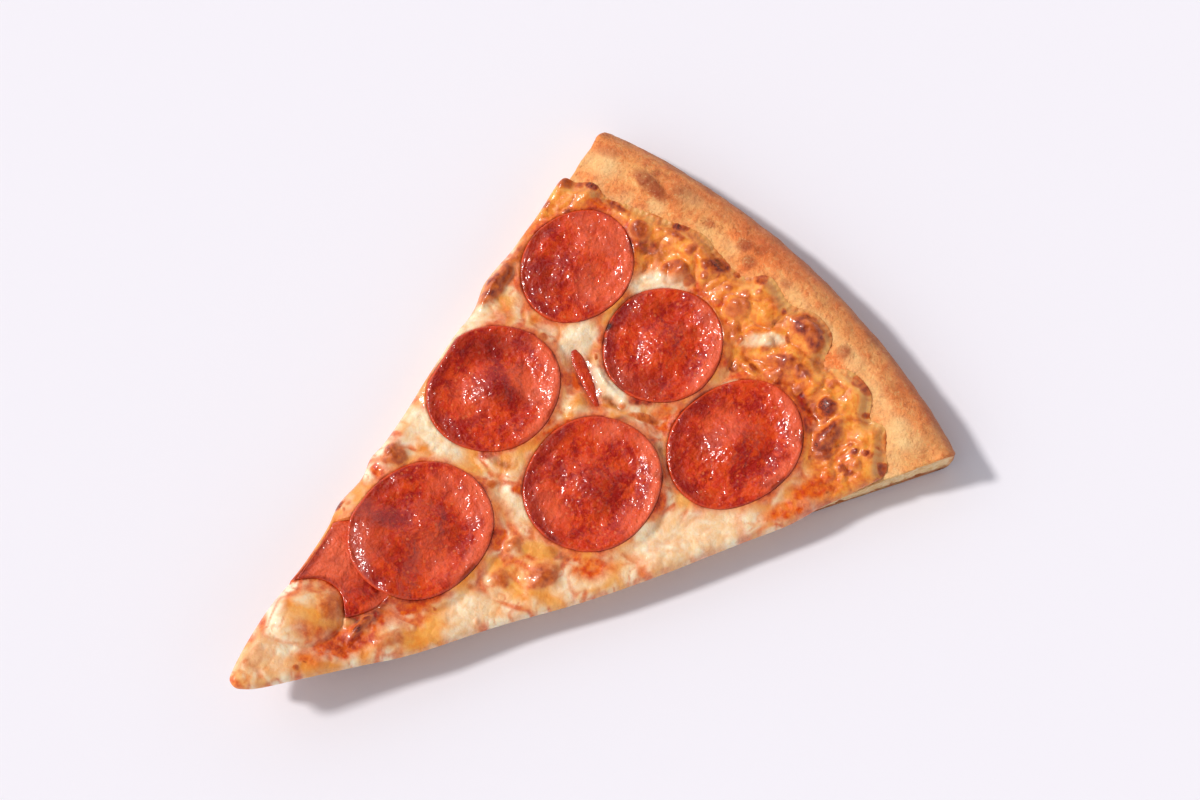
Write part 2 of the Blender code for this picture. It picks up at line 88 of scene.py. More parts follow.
CHEESE_LEFT = [(139.5, 53.4), (130, 50.5), (120, 47.2), (113.5, 45.7), (108, 44), (102.5, 40.4),
               (92, 36.6), (78, 31.3), (70, 28.2), (64, 26.2), (60, 25.4), (55, 22.4), (47, 20.6), (41, 17),
               (30, 12.5), (20, 9.7), (12, 6.4), (5, 2.8), (1.1, 0.3)]

# An oval place on the slice: its middle, half length, half width, height or strength, and turn in degrees
Spot = namedtuple("Spot", "x y long wide high turn", defaults=[0])


def spots(*rows):
    """The oval places that the rows of numbers say."""
    return [Spot(*row) for row in rows]


# Raised places, as in the part's source
CHEESE_MOUNDS = spots(
    (34, -7, 5, 2.2, 0.9, 10), (37, -13.5, 6.5, 3, 0.9, -22), (64.3, 22.3, 3.6, 3.2, 1.5),
    (74.4, -13.2, 2.9, 2.7, 0.9), (75.6, -23.6, 5, 3.6, 1.3, -10), (67.5, -17.6, 3.2, 3, 0.6),
    (110.5, 42.6, 7, 2.6, 1.7, 18), (117.6, 3.5, 2.4, 8, 1.5, 8), (107.5, 5, 3.6, 2.2, 0.9, 30),
    (118.5, 18.5, 4.2, 2.6, 0.7, 20), (141.5, 18, 5.5, 3, 0.8, -35), (147.9, 16.3, 2.5, 2.4, 1.4),
    (155.6, 12.4, 3.6, 2.4, 1.5, -60), (153.6, 18.6, 2.4, 2, 0.8), (162.4, 2.4, 2.4, 2, 1.3, 30),
    (153, -8.5, 6, 2.4, 1.8, -38), (154.5, -17.5, 6.5, 3.6, 1.7, -60), (146.8, -14, 5.5, 1.7, 1.4, -78),
    (163.4, -13.6, 4.4, 3.6, 1.6, -70), (156.4, -25.5, 4.6, 1.5, 1.2, -80), (155.4, -32.4, 2.6, 2.2, 1.2),
    (151.4, -38, 6, 2.5, 1.8, 10), (104, -38.5, 8, 2.8, 0.6, -18),
)
CLUMP = Spot(25, 3, 9.3, 8.2, 3.1, -15)
RIM_MOUNDS = spots(
    (155.4, 38.5, 5.4, 2.1, 1.2, -82), (164.6, 11, 3.4, 2.4, 0.7, -70), (167.2, -24, 2.6, 2, 0.6, -70),
    (168.5, 8.5, 2.6, 2, 0.5, -70), (160, 33.5, 3, 2.4, 0.5, -60), (170.5, -38, 5, 3, 0.6, -95),
    (152, 50.5, 5, 3, 0.5, -65), (165.5, -47.5, 4, 2.6, 0.5, -100), (171, -9, 5, 2.6, 0.5, -88),
)

# Pepperoni, as in the part's source
Pepperoni = namedtuple("Pepperoni", "x y long wide turn seat lean_x lean_y dome curl curl_side over")
PEPPERONI_THICK = 1.7
MOAT = 0.55
WAVE = 0.022
TRIM = 0.7
SAG = 0.9  # how far the edge of a piece droops on to the piece that it lies over
PEPPERONI = {
    "pepperoni_1": Pepperoni(129.0, 33.5, 14.9, 13.5, 8, 11.0, 0.05, 0.02, 0.9, 1.4, -50, None),
    "pepperoni_2": Pepperoni(133.6, 4.7, 14.9, 14.6, 0, 10.2, 0.01, 0.0, 1.9, 2.5, -45, None),
    "pepperoni_3": Pepperoni(93.9, 21.0, 16.8, 15.4, 0, 10.2, 0.0, 0.0, 1.9, 2.7, 20, None),
    "pepperoni_4": Pepperoni(132.4, -25.7, 17.6, 14.9, 0, 10.2, 0.01, 0.0, 1.9, 2.3, -20, None),
    "pepperoni_5": Pepperoni(98.8, -12.6, 17.4, 16.2, 0, 10.2, 0.0, 0.0, 1.7, 2.5, -50, None),
    "pepperoni_6": Pepperoni(58.8, 3.1, 18.2, 16.2, 0, 10.2, 0.0, 0.0, 1.9, 2.1, -40, "pepperoni_7"),
    "pepperoni_7": Pepperoni(39.0, 6.2, 13.0, 12.0, 0, 9.9, 0.0, 0.0, 0.0, 0.6, 200, None),
}
SHEEN_SIDE = math.radians(-40)  # the side of each piece whose curled edge faces the main light and gets painted sheen
BURIED_EDGE = "pepperoni_8"
BURIED_STRIP = [(115.6, 17.2, 0.6), (114.9, 14.6, 1.5), (113.7, 9.5, 1.5), (112.5, 5.5, 1.1),
                (111.6, 2.2, 0.5)]
BURIED_SEAT = 10.7
BURIED_EDGE_THICK = 0.25
BURIED_CROWN = 0.25  # how much thicker it is along its middle

# Where the pepperoni gets painted pinkish sheen, painted shade, or is charred
PAINTED_SHEEN = spots(
    (139, 35, 5.5, 8.5, 0.8, 20), (130.5, 27, 6, 5, 0.7), (119.8, 6.3, 3, 5, 0.5, 20),
    (101.8, 15.8, 3.2, 5.8, 0.8, 10), (87.5, 23, 4.5, 5.5, 0.35), (132.4, -20.7, 5.5, 4.5, 0.5),
    (86.9, -10.9, 3.8, 6.5, 0.55), (110, -4.5, 4, 2.5, 0.7, -30), (100.6, -25.5, 5, 2, 0.5, 20),
    (57.5, -3.2, 4.5, 6.5, 0.55, -10), (71.5, 0.5, 2.6, 7.5, 0.6, 10), (70, 9.5, 4, 3, 0.5, -30),
    (40.5, 10.5, 10, 7.5, 1, 22), (34.5, 11.5, 6, 5, 1, 30),
)
# Painted shade: places painted darker where the surface faces away from the main light or lies in a
# neighbour's shadow
PAINTED_SHADE = spots(
    (119.6, 36.5, 4.5, 6, 0.7, 10), (127, 38.5, 4, 3.5, 0.4), (124.5, -1.5, 4.5, 4.5, 0.6),
    (136.5, 13.5, 5.5, 2.6, 0.5, -20), (99.5, 30, 9, 3.6, 0.9, -25), (94.5, 19.5, 3, 5, 0.5, 15),
    (124.5, -20.5, 4.5, 5, 0.4), (99.4, -15.5, 4, 7, 0.45, 5), (93, 0.5, 5, 1.8, 0.5, 10),
    (53.5, 12.5, 6, 4.5, 0.6, 20), (49.5, 5, 3.6, 4.5, 0.4), (63.5, 6, 3.5, 4.5, 0.3),
    (39.5, -1, 3.4, 3, 0.4, -10),
)
CHARRED = spots(
    (144.2, 28.4, 1.6, 2.6, 1, 10), (125.2, 17.3, 2, 1.2, 1, -30), (122.6, 15, 1, 1.4, 0.7),
    (113, -21.5, 0.9, 2, 0.4), (83.2, -18, 0.8, 2.4, 0.7, 20),
)

# Where the cheese is milky, orange with oil, deep red with sauce, golden, or browned
MILKY = spots(
    (101.8, -30.5, 3.5, 2.6, 0.9), (51.6, -22.3, 4, 2.2, 0.7, -22), (141.5, 17.5, 7.5, 3.8, 0.9, -38),
    (118, 18.5, 5.5, 3.8, 1, 20), (75.5, 21, 3, 10, 0.9, 8), (57, -19.5, 7.5, 4, 0.8, -22),
    (110, -37.5, 17, 6, 0.6, -19), (95, 36, 11, 2.6, 0.8, 19), (116.8, 4.5, 1.9, 6.5, 1, 8),
    (80, -5, 3, 6, 0.7, 5), (13, 0, 9, 5, 0.5), (153.4, -9.5, 5.5, 1.2, 0.75, -38),
    (140.5, -13.8, 2.6, 1.2, 0.9, -20), (150.5, -33.5, 0.9, 2.6, 0.8), (27, 5, 3, 1.6, 0.9, -40),
    (71, 24, 3, 2, 0.7, 30), (84, -31, 5, 2.2, 0.5, -20),
)
OILY = spots(
    (28, -8.5, 7.5, 3.2, 1.4, -22), (43, -5.5, 4.5, 3, 0.9, -10), (19.5, -6.5, 2, 3.5, 0.6, 40),
    (143.5, -46.5, 3.5, 2.5, 1, -18), (37, -3, 3, 2.5, 0.9), (141, -46, 6.5, 3, 1, -18),
    (133, -46.5, 6, 2.2, 0.9, -18), (86.5, -29.5, 5, 2.6, 0.9, -30), (33, -8, 9, 2.6, 0.9, -12),
    (150, -30.5, 2.2, 6.5, 0.9), (100, 3, 6.5, 2.2, 1, -15), (112, 7, 2.2, 9, 0.8, -8),
    (104.5, 33, 5, 2.5, 0.6, 30), (122, -10, 5, 3, 0.8, 20), (150, -20, 2.5, 6, 0.7, -10),
    (45, 15, 4, 3, 0.8, 20), (77, -2, 2, 6, 0.5, 10), (24, -3, 2, 5, 0.7, 30), (148, -44, 5, 3, 0.5),
    (42, -8, 3, 5, 0.7), (152, -25, 3, 5, 0.6, 10), (114, 30, 2.5, 6, 0.6, 10), (72, 8, 1.6, 9, 0.5, 15),
)
DEEP = spots(
    (29, -9, 5.5, 2, 0.5, -22), (40, -5, 3.5, 1.8, 0.8, -10), (37.5, -2.6, 2, 1.6, 0.7),
    (114.3, 10, 2.4, 7, 0.7, -8), (116, 15, 1.8, 3.5, 0.7), (152.5, -28.5, 1.6, 5.5, 0.9, 5),
    (149.5, -34, 1.4, 3, 0.8), (150.5, -19.5, 1.2, 3.5, 0.8, -20), (36.5, -7, 3.5, 1.8, 0.8, 15),
    (33.8, -2.5, 1.6, 4.5, 0.9, -10), (31, -9.5, 2.5, 1.2, 0.6, -30), (121.5, -4, 3.2, 1.2, 0.8, -45),
    (113, -4.5, 4, 1.5, 0.6, -10), (115, 1, 1.2, 3, 0.7, 20), (147.5, -12, 1, 3, 0.6, -20),
    (146, 26.5, 1.8, 4, 0.7, 15), (83.5, 7, 1, 4, 0.5, 30), (116.5, -14.5, 1.1, 3, 0.6),
    (82, -22, 1, 3.5, 0.5, 20),
)
GOLDEN = spots(
    (2.5, -1.2, 4, 2.5, 1.2), (29.5, 2, 4, 4.5, 0.9), (150, 33, 5, 4, 1, 30), (77, 7, 3, 5, 0.8, 10),
    (72, -20, 8, 5.5, 1, -20), (62, -21.5, 5, 2.6, 0.4, -22), (84.5, -26, 4, 4, 0.7),
    (76.6, -3.2, 3, 5, 0.5), (75, -12.9, 3.2, 3, 0.9), (47, -15, 6, 4, 0.8, -20),
    (156.4, -2.3, 5, 3.5, 1, -60), (158, -35, 6, 5, 0.8, -80), (160, -46, 5, 5, 0.6),
    (40, -17, 6, 3, 0.8, -20), (25.5, -1.5, 4.5, 2.6, 0.7, 30), (30, 0, 3, 4, 0.7),
    (110.5, 27.5, 4, 2, 0.6, 40), (66, 18, 4, 4, 0.5), (12, -4, 6, 2, 0.5, -22), (131, 49, 8, 2, 0.9, 18),
    (92, -32, 3, 2, 0.5, -20),
)
BROWNED = spots(
    (8.8, 0.8, 3, 2.4, 0.42, 20), (30.6, 0.5, 3, 3.6, 0.42, -20), (144.5, 47.5, 1.5, 1.2, 1),
    (146, 39.5, 3.6, 1.1, 0.7, -70), (157, 29, 1.1, 1, 0.8), (154.6, 26, 1, 1.9, 1),
    (147.9, 16.3, 2.4, 2.3, 0.55), (154, 14, 1.3, 1.2, 0.9), (156.4, 11.5, 2, 3.1, 1, 30),
    (162.4, 2.4, 2, 1.8, 0.7), (156.5, 2, 1.6, 1.4, 0.5), (153.5, 19, 1.6, 1.4, 0.5),
    (163.3, -13, 3.4, 3.2, 0.75), (163, -18, 2.2, 2, 0.7), (154, -17, 3.4, 1.8, 0.7, -50),
    (156, -22, 2.8, 1.6, 0.7, -60), (143, -16, 1.8, 1.2, 0.8), (165.5, -32, 1.7, 1.4, 0.6),
    (160, -29, 1.5, 1.3, 0.6), (155.5, -32.5, 2.2, 2, 0.95), (151, -38, 5.4, 2.3, 0.8, 10),
    (148, -41, 2, 1.8, 0.7), (154, -45, 1, 0.9, 0.8), (156, -46.5, 1, 0.9, 0.8), (150, -48, 0.9, 0.8, 0.8),
    (165, -48.5, 1.2, 1, 0.6), (64.5, 22.5, 3.1, 2.8, 0.6), (74.5, -13.2, 2, 1.9, 0.5),
    (75.5, -23.5, 4, 3, 0.6, -10), (60, -16, 1.8, 1.5, 0.3), (30, 1, 2.2, 1.3, 0.5, -40),
    (34, -7.2, 3.6, 1.2, 0.9, 12), (79, 2, 1.4, 1.2, 0.6), (111, 24, 1.6, 1.3, 0.6),
    (110.5, 42, 7, 2.2, 0.7, 18), (77, 24, 1, 0.8, 0.6), (75, 27, 0.9, 0.8, 0.5), (117, -1.5, 1, 0.8, 0.6),
    (46.5, 20.3, 1.6, 0.9, 1, 20), (37, -14, 4.5, 2, 0.35, -20), (67, -17.6, 2.6, 2.4, 0.45),
    (10, 2, 2, 1.6, 0.4), (119, -7, 4, 0.9, 0.6, -50), (147, 44, 3, 1.5, 0.5, -60),
    (120.5, 44.8, 4, 1.6, 0.6, 20),
)

# Where the dough is toasted, or pale with flour
TOASTED = spots(
    (155.4, 38.5, 5.2, 2, 0.9, -82), (164.5, 12, 2, 1.6, 0.9, -60), (163, 8, 1.9, 1.4, 0.8, -60),
    (167.2, 8.4, 1.8, 1.5, 0.7), (167, -24, 2, 1.6, 0.8), (160, 33, 1.8, 1.3, 0.7, -60),
    (152.5, 52, 3, 1.6, 0.5, -70), (170, -38, 4, 2, 0.4, -90), (158.5, 40, 1.4, 1, 0.6),
    (161, 22, 2, 1.2, 0.5, -70), (160.5, 31, 3.5, 6, 0.3, 30), (166.5, -2, 1.6, 1.2, 0.5, -80),
)
FLOURED = spots(
    (167.5, -30, 2.4, 9, 0.8), (165.5, -48.5, 3.4, 6, 0.9, 10), (167.4, -17, 1.6, 5, 0.7),
    (149.5, 50.5, 5.5, 3.2, 0.9, -60), (161.5, 29.5, 4.5, 1.8, 0.7, -64), (153.5, 33.5, 2.5, 2, 0.8, -60),
    (169, -33, 5, 1.8, 0.5, -92), (166.5, -5.5, 5.5, 1.6, 0.5, -85), (160.5, 17.5, 6, 1.6, 0.6, -70),
    (166, -41, 4, 2.6, 0.6, -92), (160, -52, 3.2, 3, 0.6),
)
TAN_MIDDLE = 6.0  # where along the rim its outer half is baked the brownest
TAN_REACH = 32.0  # and how far to each side of there that fades away

# Finer shapes than the part's source has
RIM_THINNING = 8.0  # over which the cheese thins out on to the rim
RIM_STUCK = -0.12  # its underside's height over the dough at its edge there
HUG = 0.5  # how far the cheese climbs up the edge of each piece of pepperoni
HUG_FALL = 0.45  # and how steeply it falls away from there
PORE = 2.6  # size of the large pores in the crumb
SMALL_PORE = 1.1
PORE_DEPTH = 0.85
SKIN = 0.22  # height of the waves in the dough's skin
FINE_SKIN = 0.05
WANDER = 1.0  # how far the edges of round places on the cheese stray
WANDER_SIZE = 3.6
FOLD = 8.0  # width of the large folds in the cheese
SMALL_FOLD = 3.6
BUBBLE = 7.2  # spacing of the large baked bubbles
SMALL_BUBBLE = 3.4
MEAT_GRAIN = 1.6
SAUCE_BULGE = 0.15  # how far the sauce's edge swells out
CHEESE_BULGE = 0.25

# Photograph's camera and light
LENS_MM = 85.0
SENSOR_MM = 36.0
CAMERA_AZIMUTH = math.radians(-37.2)
CAMERA_ELEVATION = math.radians(76)
CAMERA_AWAY = 694.4
LOOK_AT = (113.28, 3.34, 10.0)
SHADOW_RUN = (9.3, -10.3, -14.0)  # the way the main light travels
SUN_ANGLE = math.radians(7)
SUN_STRENGTH = 2.25
GLOW = 0.7  # soft light round the main light, all of it within the first angle and none past the second
GLOW_SPREAD = (math.radians(14), math.radians(38))
SUN_COLOUR = (1.0, 0.985, 0.96)
FILL_OVERHEAD = 0.05
FILL_AROUND = 0.72
FILL_HEIGHTS = (0.6, 0.92)  # on a sphere of radius 1, where it goes over from one to the other
FILL_COLOUR = (0.96, 0.95, 1.0, 1.0)
FLOOR_COLOUR = (243, 240, 246)
FLOOR_SIZE = 6.0  # metres
FLOOR_DROP = 0.0002  # metres that the floor lies under the slice

# Fineness of the meshes
EDGE_STEP = 0.5
STRIP_STEP = 0.4
CHEESE_STEP = 0.46
CHEESE_HIDDEN_STEP = 1.4
UNDER_STEP = 1.3
RIM_STEP = 0.5
RIM_RINGS = (0.04, 0.12, 0.25, 0.45, 0.75, 1.1, 1.5, 2.0, 2.5, 3.0, 3.5)  # distances in from the round edge
RIM_SWEEP = (-0.25, 0.60)  # the angles between which these run
RIM_BOX = ((125, -62), (180, 62))
COARSE_STEP = 2.5
WALL_ROWS = 14
DISC_SIDES = 168
DISC_RINGS = 52


def smooth(t):
    """0 below 0, 1 above 1, and an even S between."""
    t = np.clip(t, 0.0, 1.0)
    return t * t * (3 - 2 * t)


def scatter(*whole):
    """A repeatable number between 0 and 1 for each set of whole numbers, which it mixes by large primes."""
    mixed = np.zeros_like(whole[0], dtype=np.int64)
    for number, prime in zip(whole, (73856093, 19349663, 83492791, 49979687)):
        mixed = mixed ^ (np.asarray(number, dtype=np.int64) * prime)
    mixed = (mixed ^ (mixed >> 13)) * 1274126177
    mixed = (mixed ^ (mixed >> 15)) * 668265263
    return ((mixed ^ (mixed >> 16)) & 0xFFFFFF) / float(0x1000000)


def ripple(points, size, seed):
    """Gradient noise between about -1 and 1, in waves of that size."""
    p = points / size
    base = np.floor(p).astype(np.int64)
    part = p - base
    fade = part**3 * (part * (part * 6 - 15) + 10)
    total = np.zeros(len(p))
    for dx in (0, 1):
        for dy in (0, 1):
            for dz in (0, 1):
                corner = base + (dx, dy, dz)
                slope = [scatter(*corner.T, seed * 3 + k) * 2 - 1 for k in range(3)]
                reach = part - (dx, dy, dz)
                weight = (fade[:, 0] if dx else 1 - fade[:, 0]) * (fade[:, 1] if dy else 1 - fade[:, 1])
                weight = weight * (fade[:, 2] if dz else 1 - fade[:, 2])
                total += weight * sum(s * r for s, r in zip(slope, reach.T))
    return total * 1.5


def fractal(points, size, seed, octaves=3):
    """Waves of that size with finer and weaker ones on them."""
    return sum(ripple(points, size / 2**k, seed + 17 * k) / 2**k for k in range(octaves))


def cells(points, size, seed):
    """For grains of that size: the distances to the nearest and the next middle, and the grain's number."""
    p = points / size
    base = np.floor(p).astype(np.int64)
    axes = p.shape[1]
    first, second, number = np.full(len(p), 9.0), np.full(len(p), 9.0), np.zeros(len(p))
    for step in itertools.product((-1, 0, 1), repeat=axes):
        corner = base + step
        middle = corner + np.column_stack([scatter(*corner.T, seed * 5 + k) for k in range(axes)])
        away = np.linalg.norm(p - middle, axis=1)
        nearer = away < first
        second = np.where(nearer, first, np.minimum(second, away))
        number = np.where(nearer, scatter(*corner.T, seed * 5 + 3), number)
        first = np.where(nearer, away, first)
    return first, second, number


def domes(xy, size, seed, share):
    """Bubbles on a grid of that size: each point's height on one, and that bubble's number from 0 to 1."""
    first, _, number = cells(xy, size, seed)
    radius = 0.24 + 0.26 * scatter((number * 1e6).astype(np.int64), np.full(len(xy), seed))
    round_top = np.sqrt(np.clip(1 - (first / radius) ** 2, 0, 1))
    return np.where(number < share, round_top * radius * size, 0), number / share


def flat(xy):
    """Plan points as points in space, for noise that depends on the plan alone."""
    return np.column_stack([xy, np.zeros(len(xy))])


def spline(points, step=0.5):
    """A smooth curve through the points, sampled about every step."""
    p = np.array(points, float)
    p = np.vstack([2 * p[0] - p[1], p, 2 * p[-1] - p[-2]])
    out = []
    for a, b, c, d in zip(p[:-3], p[1:-2], p[2:-1], p[3:]):
        count = max(2, int(np.linalg.norm(c - b) / step))
        for t in np.arange(count) / count:
            out.append(0.5 * (2 * b + (c - a) * t + (2 * a - 5 * b + 4 * c - d) * t**2
                              + (3 * b - 3 * c + d - a) * t**3))
    out.append(p[-2])
    return np.array(out)


def resample(loop, step):
    """The closed loop with its points evenly spaced."""
    closed = np.vstack([loop, loop[:1]])
    along = np.concatenate([[0], np.cumsum(np.linalg.norm(np.diff(closed, axis=0), axis=1))])
    stations = np.linspace(0, along[-1], int(along[-1] / step), endpoint=False)
    return np.column_stack([np.interp(stations, along, closed[:, k]) for k in (0, 1)])


def rounded(loop, length):
    """The closed loop with each corner rounded over the length."""
    step = 0.4
    even = resample(loop, step)
    reach = int(length / step / 2)
    return sum(np.roll(even, k, axis=0) for k in range(-reach, reach + 1)) / (2 * reach + 1)


def inside_by(xy, loop):
    """How far each point lies inside the closed loop, below 0 outside it."""
    xy = np.atleast_2d(xy)
    nearest = np.full(len(xy), 1e9)
    crossings = np.zeros(len(xy), int)
    for a, b in zip(loop, np.roll(loop, -1, axis=0)):
        side = b - a
        share = np.clip(((xy - a) @ side) / (side @ side), 0, 1)
        gap = xy - a - share[:, None] * side
        nearest = np.minimum(nearest, np.hypot(gap[:, 0], gap[:, 1]))
        spans = (a[1] > xy[:, 1]) != (b[1] > xy[:, 1])
        if spans.any():
            meets = a[0] + (xy[:, 1] - a[1]) / (side[1] if side[1] else 1.0) * side[0]
            crossings += spans & (xy[:, 0] < meets)
    return np.where(crossings % 2 == 1, nearest, -nearest)


def outward(loop):
    """The unit normal that points out of a loop that runs anticlockwise, at each point."""
    along = np.roll(loop, -1, axis=0) - np.roll(loop, 1, axis=0)
    along /= np.linalg.norm(along, axis=1)[:, None]
    return np.column_stack([along[:, 1], -along[:, 0]])


def area(loop):
    """The loop's area, above 0 where it runs anticlockwise."""
    x, y = loop.T
    return 0.5 * np.sum(x * np.roll(y, -1) - np.roll(x, -1) * y)


def oval_share(xy, oval):
    """0 at the middle of an oval place and 1 at its edge."""
    turn = math.radians(oval.turn)
    east, north = xy[:, 0] - oval.x, xy[:, 1] - oval.y
    along = (east * math.cos(turn) + north * math.sin(turn)) / oval.long
    across = (north * math.cos(turn) - east * math.sin(turn)) / oval.wide
    return np.hypot(along, across)


def ovals(xy, places, edge=0.35):
    """How strongly each point is covered by the places: flat inside an oval and soft at its edge."""
    total = np.zeros(len(xy))
    for spot in places:
        total = np.maximum(total, spot.high * smooth((1 + edge - oval_share(xy, spot)) / (2 * edge)))
    return total


def wander(xy):
    """The points moved about a little, so that round places on them turn irregular."""
    p = flat(xy)
    return xy + WANDER * np.column_stack([ripple(p, WANDER_SIZE, 81), ripple(p, WANDER_SIZE, 82)])


def mounds(xy, places):
    """The height that the raised places add."""
    total = np.zeros(len(xy))
    for place in places:
        total = np.maximum(total, place.high * np.clip(1 - oval_share(xy, place) ** 2 / 1.7, 0, 1) ** 1.5)
    return total


def uneven(xy, size):
    """The same smooth unevenness as in the part's source."""
    return np.array([noise.noise(Vector((x / size, y / size, 3.7))) for x, y in xy]) * 1.6


def lift(x):
    """How far the underside is off the surface, because the tip curls up."""
    return TIP_LIFT * np.clip((TIP_LIFT_FROM - x) / TIP_LIFT_FROM, 0, 1) ** 2


def rim_distance(xy):
    """The distance in from the pizza's round edge."""
    return PIZZA_RADIUS - np.hypot(xy[:, 0] - PIZZA_CENTRE[0], xy[:, 1] - PIZZA_CENTRE[1])


def dough_outline():
    """The plan of the dough: two cuts and the pizza's round edge."""
    lower, left = spline(LOWER_CUT), spline(LEFT_CUT)
    ends = [math.atan2(y - PIZZA_CENTRE[1], x - PIZZA_CENTRE[0]) for x, y in (LOWER_CUT[-1], LEFT_CUT[0])]
    a = np.linspace(*ends, 240)
    arc = np.array(PIZZA_CENTRE) + PIZZA_RADIUS * np.column_stack([np.cos(a), np.sin(a)])
    return rounded(np.vstack([lower[:-1], arc, left[1:]]), CORNER)


def cheese_outline():
    """The plan of the melted cheese, which hangs a little over both cuts."""
    return rounded(spline(CHEESE_LOWER + CHEESE_RIM + CHEESE_LEFT), 2.0)


def rim_edge_distance(xy):
    """The distance from the cheese's edge on the rim."""
    line = spline(CHEESE_RIM)[::3]
    nearest = np.full(len(xy), 1e9)
    for point in line:
        nearest = np.minimum(nearest, np.hypot(xy[:, 0] - point[0], xy[:, 1] - point[1]))
    return nearest


DOUGH = dough_outline()
MELT = cheese_outline()
DOUGH_COARSE = resample(DOUGH, 2.0)
MELT_COARSE = resample(MELT, 1.6)


def dough_top(xy):
    """The dough's upper side: a flat base, the rim, and the raised places on it."""
    inward = rim_distance(xy)
    base = BASE_TOP - TIP_THINNER * np.clip(1 - xy[:, 0] / TIP_LIFT_FROM, 0, 1)
    outer = np.sqrt(np.clip(1 - (np.clip(RIM_CREST_IN - inward, 0, RIM_CREST_IN) / RIM_CREST_IN) ** 2, 0, 1))
    crest = RIM_CREST + 0.7 * uneven(xy, 26.0)
    pinch = 1 - smooth(inside_by(xy, DOUGH_COARSE) / RIM_PINCH_OVER)
    crest -= RIM_PINCH * pinch * smooth((inward - 3.0) / 5.0)
    inner = 1 - smooth((inward - RIM_CREST_IN) / (RIM_FOOT_IN - RIM_CREST_IN))
    rim = np.where(inward < RIM_CREST_IN, RIM_BULGE + (crest - RIM_BULGE) * outer,
                   base + (crest - base) * inner)
    return rim + lift(xy[:, 0]) + mounds(xy, RIM_MOUNDS)


def dough_bottom(xy):
    """The dough's underside: flat, lifted at the tip, and turned up at the round edge."""
    inward = np.clip(UNDERSIDE_TURN - rim_distance(xy), 0, UNDERSIDE_TURN) / UNDERSIDE_TURN
    return (RIM_BULGE - 1.5) * (1 - np.sqrt(np.clip(1 - inward**2, 0, 1))) + lift(xy[:, 0])


def cheese_bottom(xy):
    """The cheese's underside: on the sauce, and melted on to the dough along the rim."""
    laid = smooth(rim_edge_distance(xy) / RIM_LAP)
    return dough_top(xy) + RIM_STUCK * (1 - laid) + (GAP + SAUCE + GAP) * laid


class Disc:
    """One piece of pepperoni as a height function over its plan, as in the part's source."""

    def __init__(self, facts, below):
        self.facts, self.below = facts, below
        self.angles = np.linspace(0, 2 * math.pi, 241)
        self.reaches = self._reaches()

    def _reaches(self):
        f, a = self.facts, self.angles
        turned = a - math.radians(f.turn)
        oval = 1 / np.hypot(np.cos(turned) / f.long, np.sin(turned) / f.wide)
        oval *= 1 + WAVE * np.sin(3 * a + f.x) * np.sin(a - f.y)
        steps = np.linspace(0.3, 1, 90)
        reach = oval[:, None] * steps
        plan = np.stack([f.x + reach * np.cos(a)[:, None], f.y + reach * np.sin(a)[:, None]], axis=2)
        plan = plan.reshape(-1, 2)
        kept = (inside_by(plan, MELT_COARSE) > TRIM) & (oval_share(plan, CLUMP) > 1.0)
        return np.where(kept.reshape(reach.shape), reach, 0).max(axis=1)

    def share(self, xy):
        """0 at the centre and 1 at the edge."""
        east, north = xy[:, 0] - self.facts.x, xy[:, 1] - self.facts.y
        angle = np.arctan2(north, east) % (2 * math.pi)
        return np.hypot(east, north) / np.interp(angle, self.angles, self.reaches)

    def beyond(self, xy):
        """How far each point lies outside the edge, below 0 inside it."""
        away = np.hypot(xy[:, 0] - self.facts.x, xy[:, 1] - self.facts.y)
        return away * (1 - 1 / np.maximum(self.share(xy), 1e-6))

    def underside(self, xy):
        f = self.facts
        east, north = xy[:, 0] - f.x, xy[:, 1] - f.y
        share = self.share(xy)
        side = 0.6 + 0.4 * np.cos(np.arctan2(north, east) - math.radians(f.curl_side))
        rise = f.dome * (1 - smooth(share / MOAT)) + f.curl * smooth((share - MOAT) / (1 - MOAT)) * side
        if self.below:
            rise = rise + (PEPPERONI_THICK + GAP) * (1 - smooth((self.below.share(xy) - 0.95) / 0.55))
        return f.seat + lift(xy[:, 0]) + f.lean_x * east + f.lean_y * north + rise

    def ring(self, beyond, step):
        """Points all round, that far outside the edge."""
        f = self.facts
        angles = np.arange(0, 2 * math.pi, step / f.long)
        reach = np.interp(angles, self.angles, self.reaches) + beyond
        return np.column_stack([f.x + reach * np.cos(angles), f.y + reach * np.sin(angles)])


class Strip:
    """The showing edge of the buried piece, as in the part's source."""

    def __init__(self):
        line = spline(BURIED_STRIP)
        along = np.gradient(line[:, :2], axis=0)
        along /= np.linalg.norm(along, axis=1)[:, None]
        across = np.column_stack([-along[:, 1], along[:, 0]]) * line[:, 2:]
        loop = np.vstack([line[:, :2] - across, (line[:, :2] + across)[::-1]])
        self.loop = loop if area(loop) > 0 else loop[::-1]

    def beyond(self, xy):
        return -inside_by(xy, self.loop)

    def underside(self, xy):
        return np.full(len(xy), BURIED_SEAT)


DISCS = {}
for disc_name in sorted(PEPPERONI, reverse=True):
    DISCS[disc_name] = Disc(PEPPERONI[disc_name], DISCS.get(PEPPERONI[disc_name].over))
STRIP = Strip()


def pepperoni_distance(xy):
    """How far each point is from the nearest piece of pepperoni, below 0 under one."""
    return np.min([piece.beyond(xy) for piece in [*DISCS.values(), STRIP]], axis=0)


def blisters(seed, count, low, high, where):
    """Small browned bubbles: count of them at random where the test holds."""
    draw = np.random.default_rng(seed)
    found = []
    while len(found) < count:
        x, y = draw.uniform(5, 168), draw.uniform(-52, 52)
        size, turn, strength = draw.uniform(low, high), draw.uniform(0, 180), draw.uniform(0.35, 1.0)
        if where(np.array([[x, y]])):
            found.append(Spot(x, y, size, size * draw.uniform(0.5, 0.95), strength, turn))
    return found


def on_open_cheese(xy):
    return inside_by(xy, MELT_COARSE)[0] > 1.5 and pepperoni_distance(xy)[0] > 1.2


